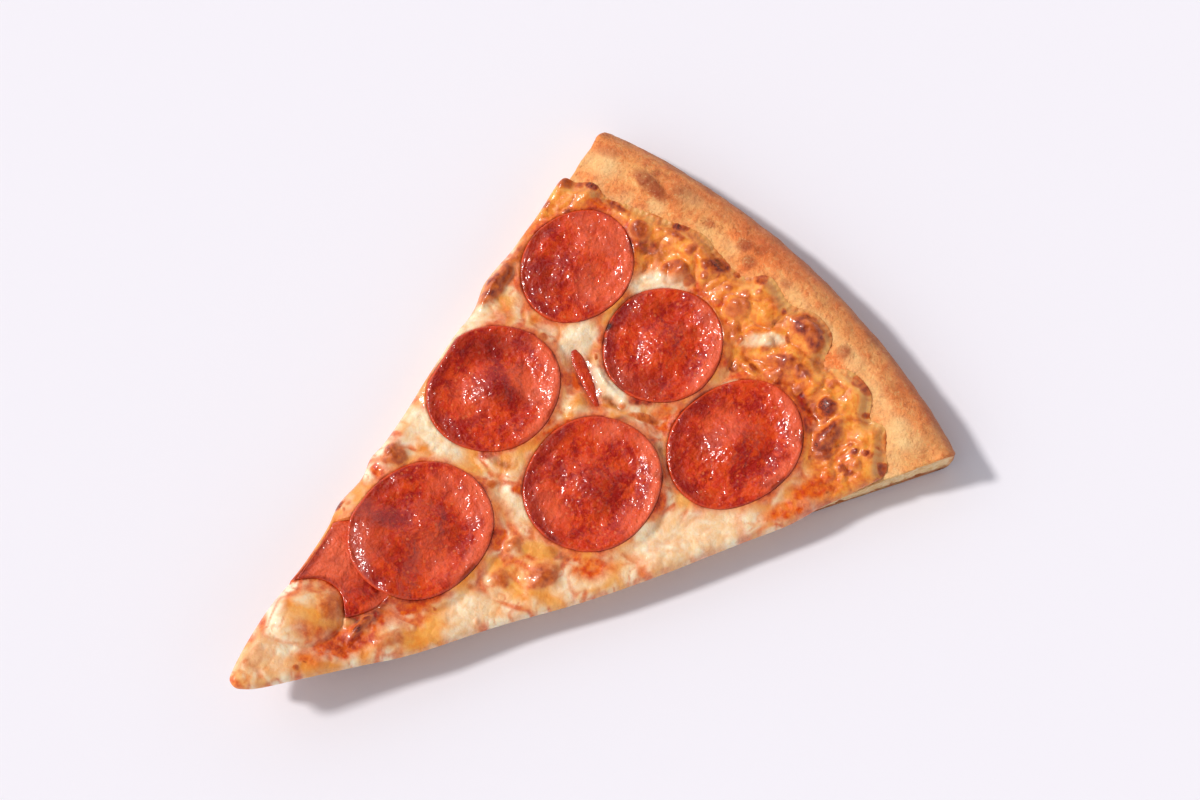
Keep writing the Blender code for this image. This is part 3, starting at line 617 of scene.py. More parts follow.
def by_rim(xy):
    return on_open_cheese(xy) and rim_distance(xy)[0] < 36


SMALL_BLISTERS = blisters(5, 26, 0.5, 1.3, by_rim) + blisters(8, 16, 0.4, 1.0, on_open_cheese)


def toward_rim(xy):
    """1 on the browned band of cheese by the rim and 0 on the milky middle of the slice."""
    return smooth((40 - rim_distance(xy) + 5 * ripple(flat(xy), 12.0, 41)) / 9)


def folds(xy):
    """Melted shreds of cheese: about 1 on top of one and 0 in the crease beside it."""
    p = flat(xy)
    bend = np.column_stack([ripple(p, 9.0, 31), ripple(p, 9.0, 32), np.zeros(len(p))]) * 4.0
    large = np.abs(ripple(p + bend, FOLD, 33)) * 3.4
    small = np.abs(ripple(p + bend, SMALL_FOLD, 36)) * 3.0
    return np.minimum(np.clip(large, 0, 1), 0.35 + 0.65 * np.clip(small, 0, 1)) ** 0.6


def bubbles(xy):
    """Baked bubbles: their height in mm, and how brown each one's top is."""
    large, large_pick = domes(xy, BUBBLE, 51, 0.60)
    small, small_pick = domes(xy, SMALL_BUBBLE, 52, 0.45)
    height = np.maximum(0.60 * large, 0.55 * small)
    brown = np.maximum(smooth((large - 0.6) / 2.2) * smooth((0.85 - large_pick) / 0.5),
                       smooth((small - 0.3) / 1.0) * smooth((0.70 - small_pick) / 0.4))
    return height, brown


def cheese_relief(xy):
    """Fine unevenness of the cheese's upper side: melted folds, bubbles and wrinkles."""
    p = flat(xy)
    baked = toward_rim(xy)
    fine = (0.05 + 0.07 * baked) * fractal(p, 1.9, 34, 3)
    raised = [s._replace(high=0.9 * s.high * min(s.wide, 1.6)) for s in SMALL_BLISTERS + BROWNED]
    moved = wander(xy)
    rise = np.maximum(bubbles(moved)[0] * (0.10 + 0.75 * baked), mounds(moved, raised))
    swell = 0.35 * ripple(p, 6.0, 37)
    return (0.30 + 0.45 * baked) * (folds(xy) - 0.75) + swell + fine + rise


def cheese_top(xy):
    """The cheese's upper side: rounded at its edge, lumpy, and pressed down under the pepperoni."""
    within = inside_by(xy, MELT_COARSE)
    edge = np.clip(within / CHEESE_ROUND, 0, 1)
    round_off = np.sqrt(np.clip(1 - (1 - edge) ** 2, 0, 1))
    thick = CHEESE * (1 - 0.35 * smooth((20.0 - rim_distance(xy)) / 8.0))
    full = thick + LUMPS * uneven(xy, LUMP_SIZE) + mounds(wander(xy), CHEESE_MOUNDS)
    full += CLUMP.high * np.clip(1 - oval_share(xy, CLUMP) ** 2.5, 0, 1) ** 0.6
    bottom = cheese_bottom(xy)
    rim_edge = rim_edge_distance(xy)
    lip = CHEESE_LIP * smooth(rim_edge / RIM_LAP) + 0.2
    thin = smooth(rim_edge / RIM_THINNING)
    top = bottom + lip + (full - lip) * round_off * thin + cheese_relief(xy) * (0.2 + 0.8 * round_off * thin)
    pieces = [(piece.beyond(xy), piece.underside(xy)) for piece in [*DISCS.values(), STRIP]]
    for beyond, edge_height in pieces:
        hugging = edge_height + HUG - HUG_FALL * np.clip(beyond, 0, 4)
        near = smooth((3.5 - beyond) / 1.5)
        blend = 0.5 * (top + hugging + np.sqrt((top - hugging) ** 2 + 0.3)) - 0.12
        level = smooth((2.2 - beyond) / 2.0)
        top = top + near * (blend - top)
        top = top + level * (np.minimum(top, edge_height + HUG + 0.15) - top)
    for beyond, edge_height in pieces:
        pressed = np.maximum(edge_height - SEAT_SHOWN_GAP, bottom + 0.3)
        top = np.where(beyond < 0.1, np.minimum(top, pressed), top)
    return np.maximum(top, bottom + 0.12)


def hexagons(loop, step, margin, box=None):
    """Points in a triangular grid inside the loop."""
    low, high = (loop.min(0), loop.max(0)) if box is None else box
    rows = np.arange(low[1], high[1], step * math.sqrt(3) / 2)
    columns = np.arange(low[0], high[0], step)
    x, y = np.meshgrid(columns, rows)
    x = x + (np.arange(len(rows)) % 2)[:, None] * step / 2
    grid = np.column_stack([x.ravel(), y.ravel()])
    return grid[inside_by(grid, loop) > margin]


def triangles(loop, inner):
    """Triangles inside the loop whose corners are its points and the inner points."""
    points = np.vstack([loop, inner]) if len(inner) else loop
    found = geometry.delaunay_2d_cdt([Vector(p) for p in points], [], [list(range(len(loop)))], 1, 1e-7)
    source = np.array([origin[0] for origin in found[3]])
    faces = source[np.array(found[2])]
    a, b, c = points[faces[:, 0]], points[faces[:, 1]], points[faces[:, 2]]
    cross = (b[:, 0] - a[:, 0]) * (c[:, 1] - a[:, 1]) - (b[:, 1] - a[:, 1]) * (c[:, 0] - a[:, 0])
    faces[cross < 0] = faces[cross < 0][:, ::-1]
    return points, faces


def slab(loop, top_points, bottom_points, top, bottom, rows, bulge=0.0):
    """A closed shell between two height functions: vertices, faces and each vertex's share up the wall."""
    above, top_faces = triangles(loop, top_points)
    below, bottom_faces = triangles(loop, bottom_points)
    count = len(loop)
    upper, lower = top(above), bottom(below)
    vertices = [np.column_stack([above, upper]), np.column_stack([below, lower])]
    up = [np.ones(len(above)), np.zeros(len(below))]
    start = len(above)
    total = start + len(below)
    faces = [top_faces, bottom_faces[:, ::-1] + start]
    normal = outward(loop)
    previous = np.arange(count)
    for row in range(1, rows + 1):
        if row < rows:
            share = 1 - row / rows
            swell = bulge * math.sin(math.pi * share)
            height = lower[:count] + (upper[:count] - lower[:count]) * share
            vertices.append(np.column_stack([loop + normal * swell, height]))
            up.append(np.full(count, share))
            current = np.arange(count) + total
            total += count
        else:
            current = np.arange(count) + start
        after = np.roll(previous, -1), np.roll(current, -1)
        faces.append(np.column_stack([previous, current, after[1]]))
        faces.append(np.column_stack([previous, after[1], after[0]]))
        previous = current
    return np.vstack(vertices), np.vstack(faces), np.concatenate(up)


def normals_of(vertices, faces):
    """Each vertex's outward direction."""
    a, b, c = (vertices[faces[:, k]] for k in range(3))
    flat_normals = np.cross(b - a, c - a)
    total = np.zeros_like(vertices)
    for k in range(3):
        np.add.at(total, faces[:, k], flat_normals)
    return total / np.maximum(np.linalg.norm(total, axis=1), 1e-12)[:, None]


def build(name, node, slot, vertices, faces, material, **layers):
    """A smooth mesh that stands for a node, with its layers of numbers from 0 to 1 for the material."""
    mesh = bpy.data.meshes.new(name)
    placed = (vertices - (*PLAN_CENTRE, 0.0)) * MM
    mesh.from_pydata(placed.tolist(), [], faces.tolist())
    mesh.shade_smooth()
    for layer, values in layers.items():
        attribute = mesh.attributes.new(layer, "FLOAT", "POINT")
        attribute.data.foreach_set("value", np.clip(values, 0, 1).astype(np.float32))
    mesh.materials.append(material)
    piece = bpy.data.objects.new(name, mesh)
    bpy.context.scene.collection.objects.link(piece)
    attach(piece, "root")
    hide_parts(node)


def srgb(red, green, blue):
    """A colour from its screen values, as the shader wants it."""
    channels = [v / 255 for v in (red, green, blue)]
    linear = [v / 12.92 if v <= 0.04045 else ((v + 0.055) / 1.055) ** 2.4 for v in channels]
    return (*linear, 1.0)


class Nodes:
    """The nodes of a material or of the world, made one call at a time."""

    def __init__(self, owner):
        owner.use_nodes = True
        self.tree = owner.node_tree

    def node(self, kind, inputs=(), **settings):
        made = self.tree.nodes.new(kind)
        for key, value in settings.items():
            setattr(made, key, value)
        for key, value in dict(inputs).items():
            self.feed(made.inputs[key], value)
        return made

    def feed(self, socket, value):
        if isinstance(value, bpy.types.NodeSocket):
            self.tree.links.new(value, socket)
        else:
            socket.default_value = value

    def between(self, value, low, high, end=1.0, start=0.0):
        """The start below low, the end above high, smooth between."""
        inputs = {"Value": value, "From Min": low, "From Max": high, "To Min": start, "To Max": end}
        return self.node("ShaderNodeMapRange", inputs, interpolation_type="SMOOTHSTEP").outputs["Result"]


class Shader(Nodes):
    """A material whose colour is laid on in coats."""

    def __init__(self, name):
        self.material = bpy.data.materials.new(name)
        super().__init__(self.material)
        self.out = self.tree.nodes["Principled BSDF"]
        self.place = self.node("ShaderNodeTexCoord").outputs["Object"]
        self.colour = None

    def layer(self, name, strength=1.0):
        """One of the mesh's layers of numbers, times the strength."""
        found = self.node("ShaderNodeAttribute", attribute_name=name).outputs["Fac"]
        return found if strength == 1.0 else self.times(found, strength)

    def noise(self, size_mm, detail, roughness=0.55, distortion=0.0):
        inputs = {"Vector": self.place, "Scale": 1 / (size_mm * MM), "Detail": detail,
                  "Roughness": roughness, "Distortion": distortion}
        return self.node("ShaderNodeTexNoise", inputs).outputs["Fac"]

    def grains(self, size_mm, output="Distance"):
        """Grains of that size: the distance from a grain's middle, or a random colour for each."""
        inputs = {"Vector": self.place, "Scale": 1 / (size_mm * MM)}
        return self.node("ShaderNodeTexVoronoi", inputs).outputs[output]

    def times(self, a, b):
        return self.node("ShaderNodeMath", {0: a, 1: b}, operation="MULTIPLY", use_clamp=True).outputs[0]

    def mix(self, share, a, b):
        return self.node("ShaderNodeMix", {0: share, 6: a, 7: b}, data_type="RGBA").outputs[2]

    def tone(self, first, second=None, pattern=None):
        """A colour, or two colours that a pattern mixes."""
        return self.mix(pattern, srgb(*first), srgb(*second)) if second else srgb(*first)

    def coat(self, share, *tone):
        """Lay another tone over the colour so far, as strongly as the share says."""
        self.colour = self.mix(share, self.colour, self.tone(*tone))

    def bumps(self, *waves):
        """Waves on one another: each is a pattern, its height in mm and its strength."""
        normal = None
        for pattern, height_mm, strength in waves:
            inputs = {"Height": pattern, "Distance": height_mm * MM, "Strength": strength}
            if normal is not None:
                inputs["Normal"] = normal
            normal = self.node("ShaderNodeBump", inputs).outputs["Normal"]
        return normal

    def finish(self, **values):
        """Set the shader's colour and its other values."""
        for key, value in dict(values, Base_Color=self.colour).items():
            self.feed(self.out.inputs[key.replace("_", " ")], value)
        return self.material


def crust_material():
    s = Shader("crust")
    mottle = s.noise(3.4, 5, 0.65)
    patches = s.noise(15.0, 4, 0.6)
    grain = s.noise(0.65, 4, 0.7)
    freckle = s.noise(1.6, 4, 0.7)
    s.colour = s.tone((255, 180, 104), (250, 138, 66), s.between(patches, 0.34, 0.66))
    s.coat(s.between(mottle, 0.46, 0.68, 0.6), (228, 112, 48))
    s.coat(s.between(freckle, 0.50, 0.68, 0.6), (196, 88, 38))
    s.coat(s.between(freckle, 0.46, 0.34, 0.7), (250, 192, 118))
    s.coat(s.layer("tan"), (226, 98, 40), (210, 86, 32), mottle)
    # pale: flour, and paler dough on the rim's inner slope, with painted light added where it faces the main
    # light
    s.coat(s.layer("pale", 0.92), (254, 220, 158), (244, 186, 116), mottle)
    s.coat(s.layer("toast", 0.9), (172, 70, 28), (134, 46, 20), mottle)
    s.coat(s.layer("outer", 0.8), (196, 112, 60), (146, 72, 38), mottle)
    s.coat(s.between(grain, 0.54, 0.74, 0.3), (150, 68, 30))
    s.coat(s.between(grain, 0.46, 0.28, 0.35), (255, 216, 158))
    crumb = s.tone((236, 190, 128), (250, 218, 168), s.between(s.noise(1.6, 4, 0.6), 0.35, 0.65))
    crumb = s.mix(s.layer("scorch"), crumb, s.tone((196, 112, 52), (160, 78, 36), mottle))
    s.colour = s.mix(s.layer("crumb"), s.colour, crumb)
    s.coat(s.layer("under"), (216, 160, 98), (142, 78, 38), s.between(s.noise(7.0, 5, 0.7), 0.42, 0.66))
    normal = s.bumps((mottle, 0.7, 1.0), (freckle, 0.50, 1.0), (grain, 0.30, 1.0))
    return s.finish(Roughness=0.6, Normal=normal, Specular_IOR_Level=0.35, Subsurface_Weight=0.08,
                    Subsurface_Scale=0.0012, Subsurface_Radius=(1.0, 0.5, 0.25))


def cheese_material():
    s = Shader("cheese")
    cloud = s.noise(6.0, 4, 0.6, 0.6)
    fine = s.noise(1.3, 4, 0.6)
    speck = s.noise(0.5, 3, 0.6)
    soft, hard = s.between(fine, 0.35, 0.65), s.between(fine, 0.42, 0.58)
    s.colour = s.tone((246, 176, 96), (238, 140, 50), s.between(cloud, 0.32, 0.68))
    s.coat(s.layer("baked", 0.75), (242, 142, 44), (220, 100, 24), soft)
    s.coat(s.layer("gold", 0.8), (252, 174, 72), (248, 144, 44), soft)
    s.coat(s.layer("milk"), (255, 238, 206), (255, 224, 178), soft)
    s.coat(s.layer("thin"), (244, 188, 112), (226, 146, 74), cloud)
    s.coat(s.layer("oil"), (238, 108, 18), (208, 64, 8), soft)
    s.coat(s.layer("deep"), (168, 30, 6), (116, 14, 4), hard)
    brown = s.layer("brown")
    s.coat(s.between(brown, 0.05, 0.5), (222, 116, 46), (200, 92, 34), soft)
    s.coat(s.between(brown, 0.40, 0.85), (172, 68, 26), (134, 42, 18), hard)
    s.coat(s.times(s.between(brown, 0.75, 1.0), s.between(speck, 0.4, 0.6)), (84, 26, 14))
    s.coat(s.between(speck, 0.6, 0.75, 0.25), (214, 110, 40))
    rough = s.node("ShaderNodeMapRange", {"Value": cloud, "To Min": 0.26, "To Max": 0.48}).outputs["Result"]
    wet = s.bumps((s.noise(2.2, 1.0, 0.5, 0.6), 0.20, 1.0), (s.noise(0.9, 1.0), 0.06, 1.0))
    normal = s.bumps((fine, 0.25, 1.0), (speck, 0.10, 0.7))
    return s.finish(Roughness=rough, Normal=normal, Specular_IOR_Level=0.3, Subsurface_Weight=0.12,
                    Subsurface_Scale=0.0015, Subsurface_Radius=(1.0, 0.5, 0.2), Coat_Weight=0.5,
                    Coat_Roughness=0.12, Coat_Normal=wet)


def sauce_material():
    s = Shader("tomato_sauce")
    pulp = s.noise(1.4, 4, 0.65)
    s.colour = s.tone((190, 48, 16), (226, 88, 30), s.between(pulp, 0.35, 0.65))
    return s.finish(Roughness=0.3, Normal=s.bumps((pulp, 0.4, 1.0)), Coat_Weight=0.3, Coat_Roughness=0.1)


def pepperoni_material():
    s = Shader("pepperoni")
    blotch = s.noise(5.5, 4, 0.65, 0.4)
    fine = s.noise(0.9, 4, 0.65)
    tiny = s.noise(0.4, 3, 0.6)
    wrinkle = s.noise(1.9, 4, 0.6, 0.8)
    meat = s.node("ShaderNodeSeparateColor", {"Color": s.grains(1.5, "Color")}).outputs["Red"]
    s.colour = s.tone((210, 48, 4), (226, 70, 10), s.between(meat, 0.1, 0.9))
    s.coat(s.between(blotch, 0.44, 0.60), (172, 20, 2))
    s.coat(s.between(fine, 0.50, 0.70, 0.6), (236, 92, 22))
    fat_pick = s.node("ShaderNodeSeparateColor", {"Color": s.grains(1.1, "Color")}).outputs["Green"]
    fat = s.times(s.between(s.grains(1.1), 0.42, 0.22), s.between(fat_pick, 0.86, 0.93))
    s.coat(s.times(fat, 0.5), (240, 130, 76))
    # Painted sheen: a pinkish highlight where the surface faces the main light
    s.coat(s.layer("pink", 0.9), (252, 122, 82), (240, 90, 50), fine)
    # Painted shade, together with some random darker tone
    s.coat(s.layer("dark", 0.9), (134, 10, 2))
    s.coat(s.layer("edge"), (230, 84, 18), (196, 40, 6), fine)
    s.coat(s.layer("char"), (64, 14, 8))
    normal = s.bumps((wrinkle, 0.55, 1.0), (fine, 0.30, 1.0), (tiny, 0.08, 0.9))
    wet = s.bumps((s.noise(1.35, 1.0, 0.5, 1.0), 0.22, 1.0), (s.noise(0.55, 1.0), 0.06, 1.0))
    return s.finish(Roughness=0.42, Normal=normal, Specular_IOR_Level=0.15, Subsurface_Weight=0.06,
                    Subsurface_Scale=0.001, Subsurface_Radius=(1.0, 0.3, 0.1), Coat_Weight=0.9,
                    Coat_Roughness=0.12, Coat_Normal=wet)


def floor_material():
    s = Shader("floor")
    s.colour = srgb(*FLOOR_COLOUR)
    return s.finish(Roughness=0.9, Specular_IOR_Level=0.2)


def dough_points():
    """The points of the dough's upper and lower side, close together where the rim shows."""
    rings = []
    for inward in RIM_RINGS:
        radius = PIZZA_RADIUS - inward
        a = np.arange(*RIM_SWEEP, RIM_STEP / radius)
        ring = np.array(PIZZA_CENTRE) + radius * np.column_stack([np.cos(a), np.sin(a)])
        rings.append(ring[inside_by(ring, DOUGH_COARSE) > min(0.4, inward * 0.7)])
    rings = np.vstack(rings)
    fine = hexagons(DOUGH_COARSE, RIM_STEP, 0.35, RIM_BOX)
    fine = fine[(rim_distance(fine) > 3.8) & (inside_by(fine, MELT_COARSE) < 2.0)]
    coarse = hexagons(DOUGH_COARSE, COARSE_STEP, 1.0)
    coarse = coarse[inside_by(coarse, MELT_COARSE) > 2.6]
    under = hexagons(DOUGH_COARSE, UNDER_STEP, 0.8)
    under = under[rim_distance(under) > 4.4]
    return np.vstack([rings, fine, coarse]), np.vstack([rings, under])


def add_crust():
    """The dough with its rim, crumb at the cuts and scorched underside."""
    loop = resample(DOUGH, EDGE_STEP)
    vertices, faces, up = slab(loop, *dough_points(), dough_top, dough_bottom, WALL_ROWS)
    xy = vertices[:, :2]
    inward = rim_distance(xy)
    within = inside_by(xy, DOUGH_COARSE)
    at_cut = smooth((inward - within - 1.0) / 2.0) * smooth((0.5 - within) / 0.4)
    cut = at_cut * ((up > 0) & (up < 1))
    under_side = (up == 0) * smooth((4.0 - vertices[:, 2] + lift(xy[:, 0])) / 2.0)
    large_gap, _, large_pick = cells(vertices, PORE, 3)
    small_gap, _, small_pick = cells(vertices, SMALL_PORE, 4)
    pores = np.maximum(smooth((0.55 - large_gap) / 0.4) * (large_pick > 0.35),
                       smooth((0.5 - small_gap) / 0.3) * (small_pick > 0.45) * 0.5)
    skin = SKIN * fractal(vertices, 5.5, 5, 4) + FINE_SKIN * ripple(vertices, 1.0, 6)
    shift = skin * (1 - cut) * (1 - 0.75 * under_side) - cut * PORE_DEPTH * pores
    shift[(inside_by(xy, MELT_COARSE) > 2.0) & (up == 1)] = 0
    vertices = vertices + normals_of(vertices, faces) * shift[:, None]
    vertices[:, 2] = np.maximum(vertices[:, 2], 0.0)
    wavy = fractal(vertices, 7.0, 9, 3)
    # Paler dough on the rim's inner slope, with painted light added towards the end by the lower cut, which
    # faces the main light
    lit_right_end = smooth((10.0 - xy[:, 1]) / 30.0)
    inner_slope = smooth((inward - 12.5 + 5.0 * wavy) / 6.0) * (0.5 + 0.35 * lit_right_end)
    pale = np.maximum(inner_slope, ovals(xy, FLOURED, 0.5) * (0.75 + 0.5 * wavy))
    toast = ovals(xy, TOASTED) * (0.8 + 0.5 * wavy)
    middle = smooth(1.0 - np.abs(xy[:, 1] - TAN_MIDDLE) / TAN_REACH)
    crust_top = cut * smooth((up - 0.90) / 0.08)
    build("baked_dough", "crust", "crust", vertices, faces, crust_material(),
          pale=pale * (1 - toast),
          toast=toast,
          tan=smooth((10.5 - inward + 4.0 * wavy) / 5.0) * (0.25 + 0.40 * middle),
          outer=smooth((4.5 - inward + 1.6 * wavy) / 4.0),
          crumb=cut * (1 - 0.8 * crust_top),
          scorch=smooth((0.30 - up + 0.10 * wavy) / 0.15) * cut,
          under=under_side)


def add_sauce():
    """The sauce, set in a little from the cheese's edge and ending short of it along the rim."""
    inset = np.maximum(SAUCE_INSET, SAUCE_INSET / 2 - inside_by(MELT, DOUGH_COARSE))
    loop = MELT - outward(MELT) * inset[:, None]
    short = np.clip(SAUCE_SHORT - rim_edge_distance(loop), 0, SAUCE_SHORT)
    loop = resample(rounded(loop * (1 - short / np.linalg.norm(loop, axis=1))[:, None], 4.0), 0.8)
    inner = hexagons(loop, COARSE_STEP, 1.2)
    vertices, faces, _ = slab(loop, inner, inner, lambda xy: dough_top(xy) + GAP + SAUCE,
                              lambda xy: dough_top(xy) + GAP, 3, SAUCE_BULGE)
    build("sauce_layer", "tomato_sauce", "tomato_sauce", vertices, faces, sauce_material())


def cheese_points():
    """The points of the cheese's upper side, close together where it shows."""
    shown = hexagons(MELT_COARSE, CHEESE_STEP, 0.3)
    away = pepperoni_distance(shown)
    shown = shown[(away > -1.5) & ((away < -0.45) | (away > 0.38))]
    seams = np.vstack([disc.ring(beyond, EDGE_STEP) for disc in DISCS.values() for beyond in (-0.2, 0.14)])
    seams = seams[(pepperoni_distance(seams) > -0.3) & (inside_by(seams, MELT_COARSE) > 0.3)]
    hidden = hexagons(MELT_COARSE, CHEESE_HIDDEN_STEP, 1.0)
    hidden = hidden[pepperoni_distance(hidden) < -1.9]
    return np.vstack([shown, seams, hidden])


def cheese_layers(xy):
    """Where the cheese is milky, golden, oily, deep red, browned or thin."""
    p = flat(xy)
    wavy, fine_wave = fractal(p, 7.0, 21, 3), fractal(p, 2.2, 22, 3)
    top, baked, away = folds(xy), toward_rim(xy), pepperoni_distance(xy)
    moved = wander(xy)
    milky = ovals(moved, MILKY, 0.45)
    milk = np.maximum(milky * (1.0 + 0.5 * fine_wave), (1 - baked) * (0.12 + 0.45 * top + 1.1 * wavy))
    halo = smooth((2.2 + 2.6 * wavy - away) / 1.6) * (0.75 + 0.6 * wavy)
    crease = smooth((0.80 - top) / 0.35) * smooth((wavy + 0.25) / 0.4) * (0.8 - 0.3 * baked)
    calm = 1 - 0.92 * smooth(milky / 0.8)
    oil = np.maximum(ovals(moved, OILY, 0.5) * (1.0 + 0.6 * fine_wave), np.maximum(halo, crease) * calm)
    deep = np.maximum(smooth((0.5 + wavy - away) / 0.8) * 0.8, smooth((0.42 - top) / 0.3) * baked * 0.3)
    deep = np.maximum(deep, ovals(moved, DEEP, 0.5) * (1.0 + 0.7 * fine_wave))
    browned = np.maximum(ovals(moved, BROWNED, 0.35), 0.8 * ovals(moved, SMALL_BLISTERS, 0.4))
    brown = np.maximum(browned * (0.9 + 0.5 * fine_wave), bubbles(moved)[1] * (0.05 + 0.65 * baked))
    brown *= 1 - 0.8 * milky
    golden = ovals(moved, GOLDEN, 0.6) * (1.0 + 0.6 * fine_wave)
    thin = smooth((4.5 + 2.0 * wavy - rim_edge_distance(xy)) / 4.0)
    bare = 1 - 0.8 * brown
    return {
        "milk": milk * bare * (1 - 0.8 * np.clip(golden, 0, 1)),
        "oil": oil * bare,
        "deep": deep * bare * (1 - 0.7 * milky),
        "brown": brown,
        "baked": baked,
        "gold": np.maximum(baked * smooth((0.35 + wavy) / 0.5), golden),
        "thin": thin * (1 - brown),
    }


def add_cheese():
    """Melted cheese: milky, golden, oily and browned by turns."""
    loop = resample(MELT, EDGE_STEP)
    under = hexagons(MELT_COARSE, COARSE_STEP, 1.0)
    vertices, faces, _ = slab(loop, cheese_points(), under, cheese_top, cheese_bottom, 5, CHEESE_BULGE)
    layers = cheese_layers(vertices[:, :2])
    build("melted_cheese", "cheese", "cheese", vertices, faces, cheese_material(), **layers)


def disc_shell(disc):
    """One cupped piece with a raised grain and a thin edge: vertices, faces, and each one's share out."""
    f = disc.facts
    steps = np.linspace(0, 1, DISC_RINGS + 1)[1:]
    quarter = 0.96 * math.pi / 2
    share = 0.5 * np.sin(steps * quarter) / math.sin(quarter) + 0.5 * steps
    angles = np.arange(DISC_SIDES) * 2 * math.pi / DISC_SIDES
    radial = np.outer(share, np.interp(angles, disc.angles, disc.reaches))
    plan = np.stack([f.x + radial * np.cos(angles), f.y + radial * np.sin(angles)], axis=2).reshape(-1, 2)
    plan = np.vstack([[[f.x, f.y]], plan])
    part = np.concatenate([[0], np.repeat(share, DISC_SIDES)])
    rim = smooth((part - 0.975) / 0.025)
    under = disc.underside(plan)
    if disc.below:
        under = under - SAG * smooth((1.0 - disc.below.share(plan)) / 0.3) * smooth((part - 0.75) / 0.25)
    p = np.column_stack([plan, np.full(len(plan), f.x)])
    first, second, number = cells(p, MEAT_GRAIN, int(f.x))
    grain = 0.08 * smooth((second - first) / 0.35) * (0.5 + number)
    warp = 0.42 * ripple(p, 9.0, int(f.y) + 90) + 0.16 * fractal(p, 4.2, int(f.y) + 60, 3)
    warp += 0.17 * fractal(p, 2.2, int(f.y) + 40, 2)
    relief = (warp + grain) * (1 - smooth((part - 0.93) / 0.07)) - 0.1
    thinner = 0.75 * smooth((part - 0.62) / 0.38) + 0.30 * rim
    above = np.column_stack([plan, under + PEPPERONI_THICK - thinner + relief])
    below = np.column_stack([plan, under + 0.12 * rim])
    k = np.arange(DISC_SIDES)
    after = (k + 1) % DISC_SIDES
    faces = [np.column_stack([np.zeros(DISC_SIDES, int), 1 + k, 1 + after])]
    for ring in range(DISC_RINGS - 1):
        a, b = 1 + ring * DISC_SIDES + k, 1 + ring * DISC_SIDES + after
        faces.append(np.column_stack([a, a + DISC_SIDES, b + DISC_SIDES]))
        faces.append(np.column_stack([a, b + DISC_SIDES, b]))
    top_faces = np.vstack(faces)
    count = len(plan)
    c, d = count - DISC_SIDES + k, count - DISC_SIDES + after
    wall = [np.column_stack([c, count + c, count + d]), np.column_stack([c, count + d, d])]
    faces = np.vstack([top_faces, top_faces[:, ::-1] + count, *wall])
    return np.vstack([above, below]), faces, np.concatenate([part, part])


def add_pepperoni(name, disc, material):
    """One piece, with painted sheen on the side of its curled edge that faces the main light and painted
    shade on the other.
    """
    f = disc.facts
    vertices, faces, part = disc_shell(disc)
    xy = vertices[:, :2]
    wavy = fractal(np.column_stack([xy, np.full(len(xy), f.x)]), 6.0, 71, 3)
    facing = np.cos(np.arctan2(xy[:, 1] - f.y, xy[:, 0] - f.x) - SHEEN_SIDE)
    # Painted sheen: on the curled edge on the side facing the main light, and at the listed sheen places
    pink = smooth((facing - 0.35) / 0.45) * smooth((part - 0.74 + 0.08 * wavy) / 0.14) * 0.85
    pink = np.maximum(pink, ovals(xy, PAINTED_SHEEN, 0.6) * (0.85 + 0.6 * wavy))
    # Painted shade on the curled edge away from the main light and at the listed places; the third line adds
    # random darker tone
    dark = smooth((-facing - 0.1) / 0.6) * smooth((part - 0.70 + 0.08 * wavy) / 0.18) * 0.7
    dark = np.maximum(dark, ovals(xy, PAINTED_SHADE, 0.6) * (0.85 + 0.6 * wavy))
    dark = np.maximum(dark, smooth((wavy - 0.3) / 0.4) * 0.4)
    edge = smooth((part - 0.955 + 0.03 * wavy) / 0.03) * smooth((0.55 + wavy - 0.45 * facing) / 0.6)
    char = edge * smooth((wavy - 0.35) / 0.25) * 0.5
    char = np.maximum(char, ovals(xy, CHARRED, 0.4) * (0.9 + 0.8 * wavy))
    build(name + "_meat", name, "pepperoni", vertices, faces, material,
          pink=pink, dark=dark, edge=edge, char=char)


def add_strip(material):
    """The showing edge of the buried piece, a little darker than the others."""
    loop = resample(STRIP.loop, STRIP_STEP)
    inner = hexagons(loop, STRIP_STEP, 0.15)

    def upper(xy):
        return STRIP.underside(xy) + BURIED_EDGE_THICK + BURIED_CROWN * smooth(inside_by(xy, loop) / 0.8)

    vertices, faces, _ = slab(loop, inner, inner, upper, STRIP.underside, 3)
    none = np.zeros(len(vertices))
    build(BURIED_EDGE + "_meat", BURIED_EDGE, "pepperoni", vertices, faces, material,
          pink=none, dark=none + 0.3, edge=none + 0.3, char=none)


def add_floor():
    bpy.ops.mesh.primitive_plane_add(size=FLOOR_SIZE, location=(0, 0, -FLOOR_DROP))
    floor = bpy.context.object
    floor.name = "floor"
    floor.data.materials.append(floor_material())


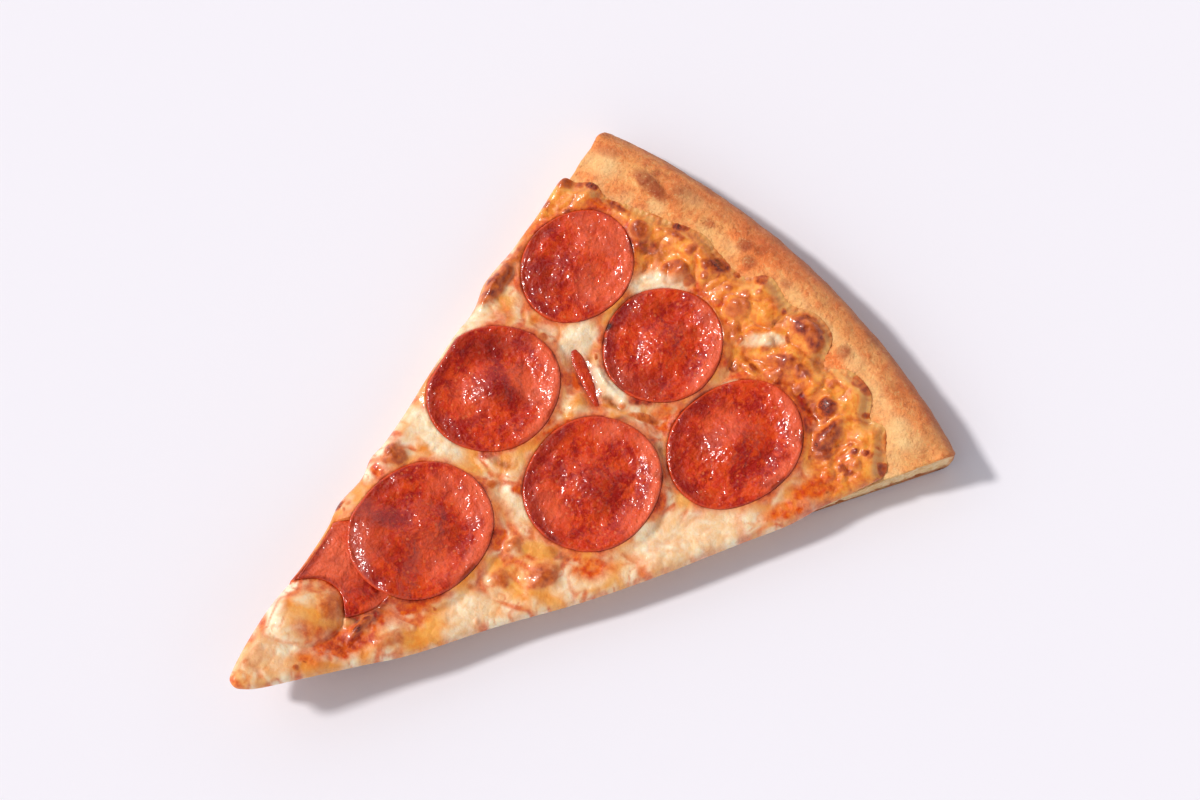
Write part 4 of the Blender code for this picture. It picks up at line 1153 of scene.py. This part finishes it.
def studio_world():
    """White surroundings, darker overhead, with a soft glow round the main light."""
    world = bpy.data.worlds.new("studio")
    s = Nodes(world)
    place = s.node("ShaderNodeTexCoord").outputs["Generated"]
    height = s.node("ShaderNodeSeparateXYZ", {"Vector": place}).outputs["Z"]
    light = -Vector(SHADOW_RUN).normalized()
    toward = s.node("ShaderNodeVectorMath", {0: place, 1: light}, operation="DOT_PRODUCT").outputs["Value"]
    near, far = (math.cos(angle) for angle in GLOW_SPREAD)
    fill = s.between(height, *FILL_HEIGHTS, FILL_OVERHEAD, FILL_AROUND)
    total = s.node("ShaderNodeMath", {0: fill, 1: s.between(toward, far, near, GLOW)})
    background = s.tree.nodes["Background"]
    s.feed(background.inputs["Color"], FILL_COLOUR)
    s.feed(background.inputs["Strength"], total.outputs[0])
    return world


def add_camera_and_light():
    """The photograph's view, its main light and the white surroundings."""
    scene = bpy.context.scene
    scene.view_settings.view_transform = "Standard"
    back = Vector((math.sin(CAMERA_AZIMUTH) * math.cos(CAMERA_ELEVATION),
                   -math.cos(CAMERA_AZIMUTH) * math.cos(CAMERA_ELEVATION), math.sin(CAMERA_ELEVATION)))
    target = (Vector(LOOK_AT) - Vector((*PLAN_CENTRE, 0))) * MM
    data = bpy.data.cameras.new("camera")
    data.lens, data.sensor_width = LENS_MM, SENSOR_MM
    camera = bpy.data.objects.new("camera", data)
    camera.location = target + back * CAMERA_AWAY * MM
    camera.rotation_mode = "QUATERNION"
    camera.rotation_quaternion = (-back).to_track_quat("-Z", "Y")
    scene.collection.objects.link(camera)
    scene.camera = camera
    sun_data = bpy.data.lights.new("key", "SUN")
    sun_data.energy, sun_data.angle = SUN_STRENGTH, SUN_ANGLE
    sun_data.color = SUN_COLOUR
    sun = bpy.data.objects.new("key", sun_data)
    sun.rotation_mode = "QUATERNION"
    sun.rotation_quaternion = Vector(SHADOW_RUN).to_track_quat("-Z", "Y")
    scene.collection.objects.link(sun)
    scene.world = studio_world()


add_crust()
add_sauce()
add_cheese()
sausage = pepperoni_material()
for disc_name, one_disc in DISCS.items():
    add_pepperoni(disc_name, one_disc, sausage)
add_strip(sausage)
add_floor()
add_camera_and_light()
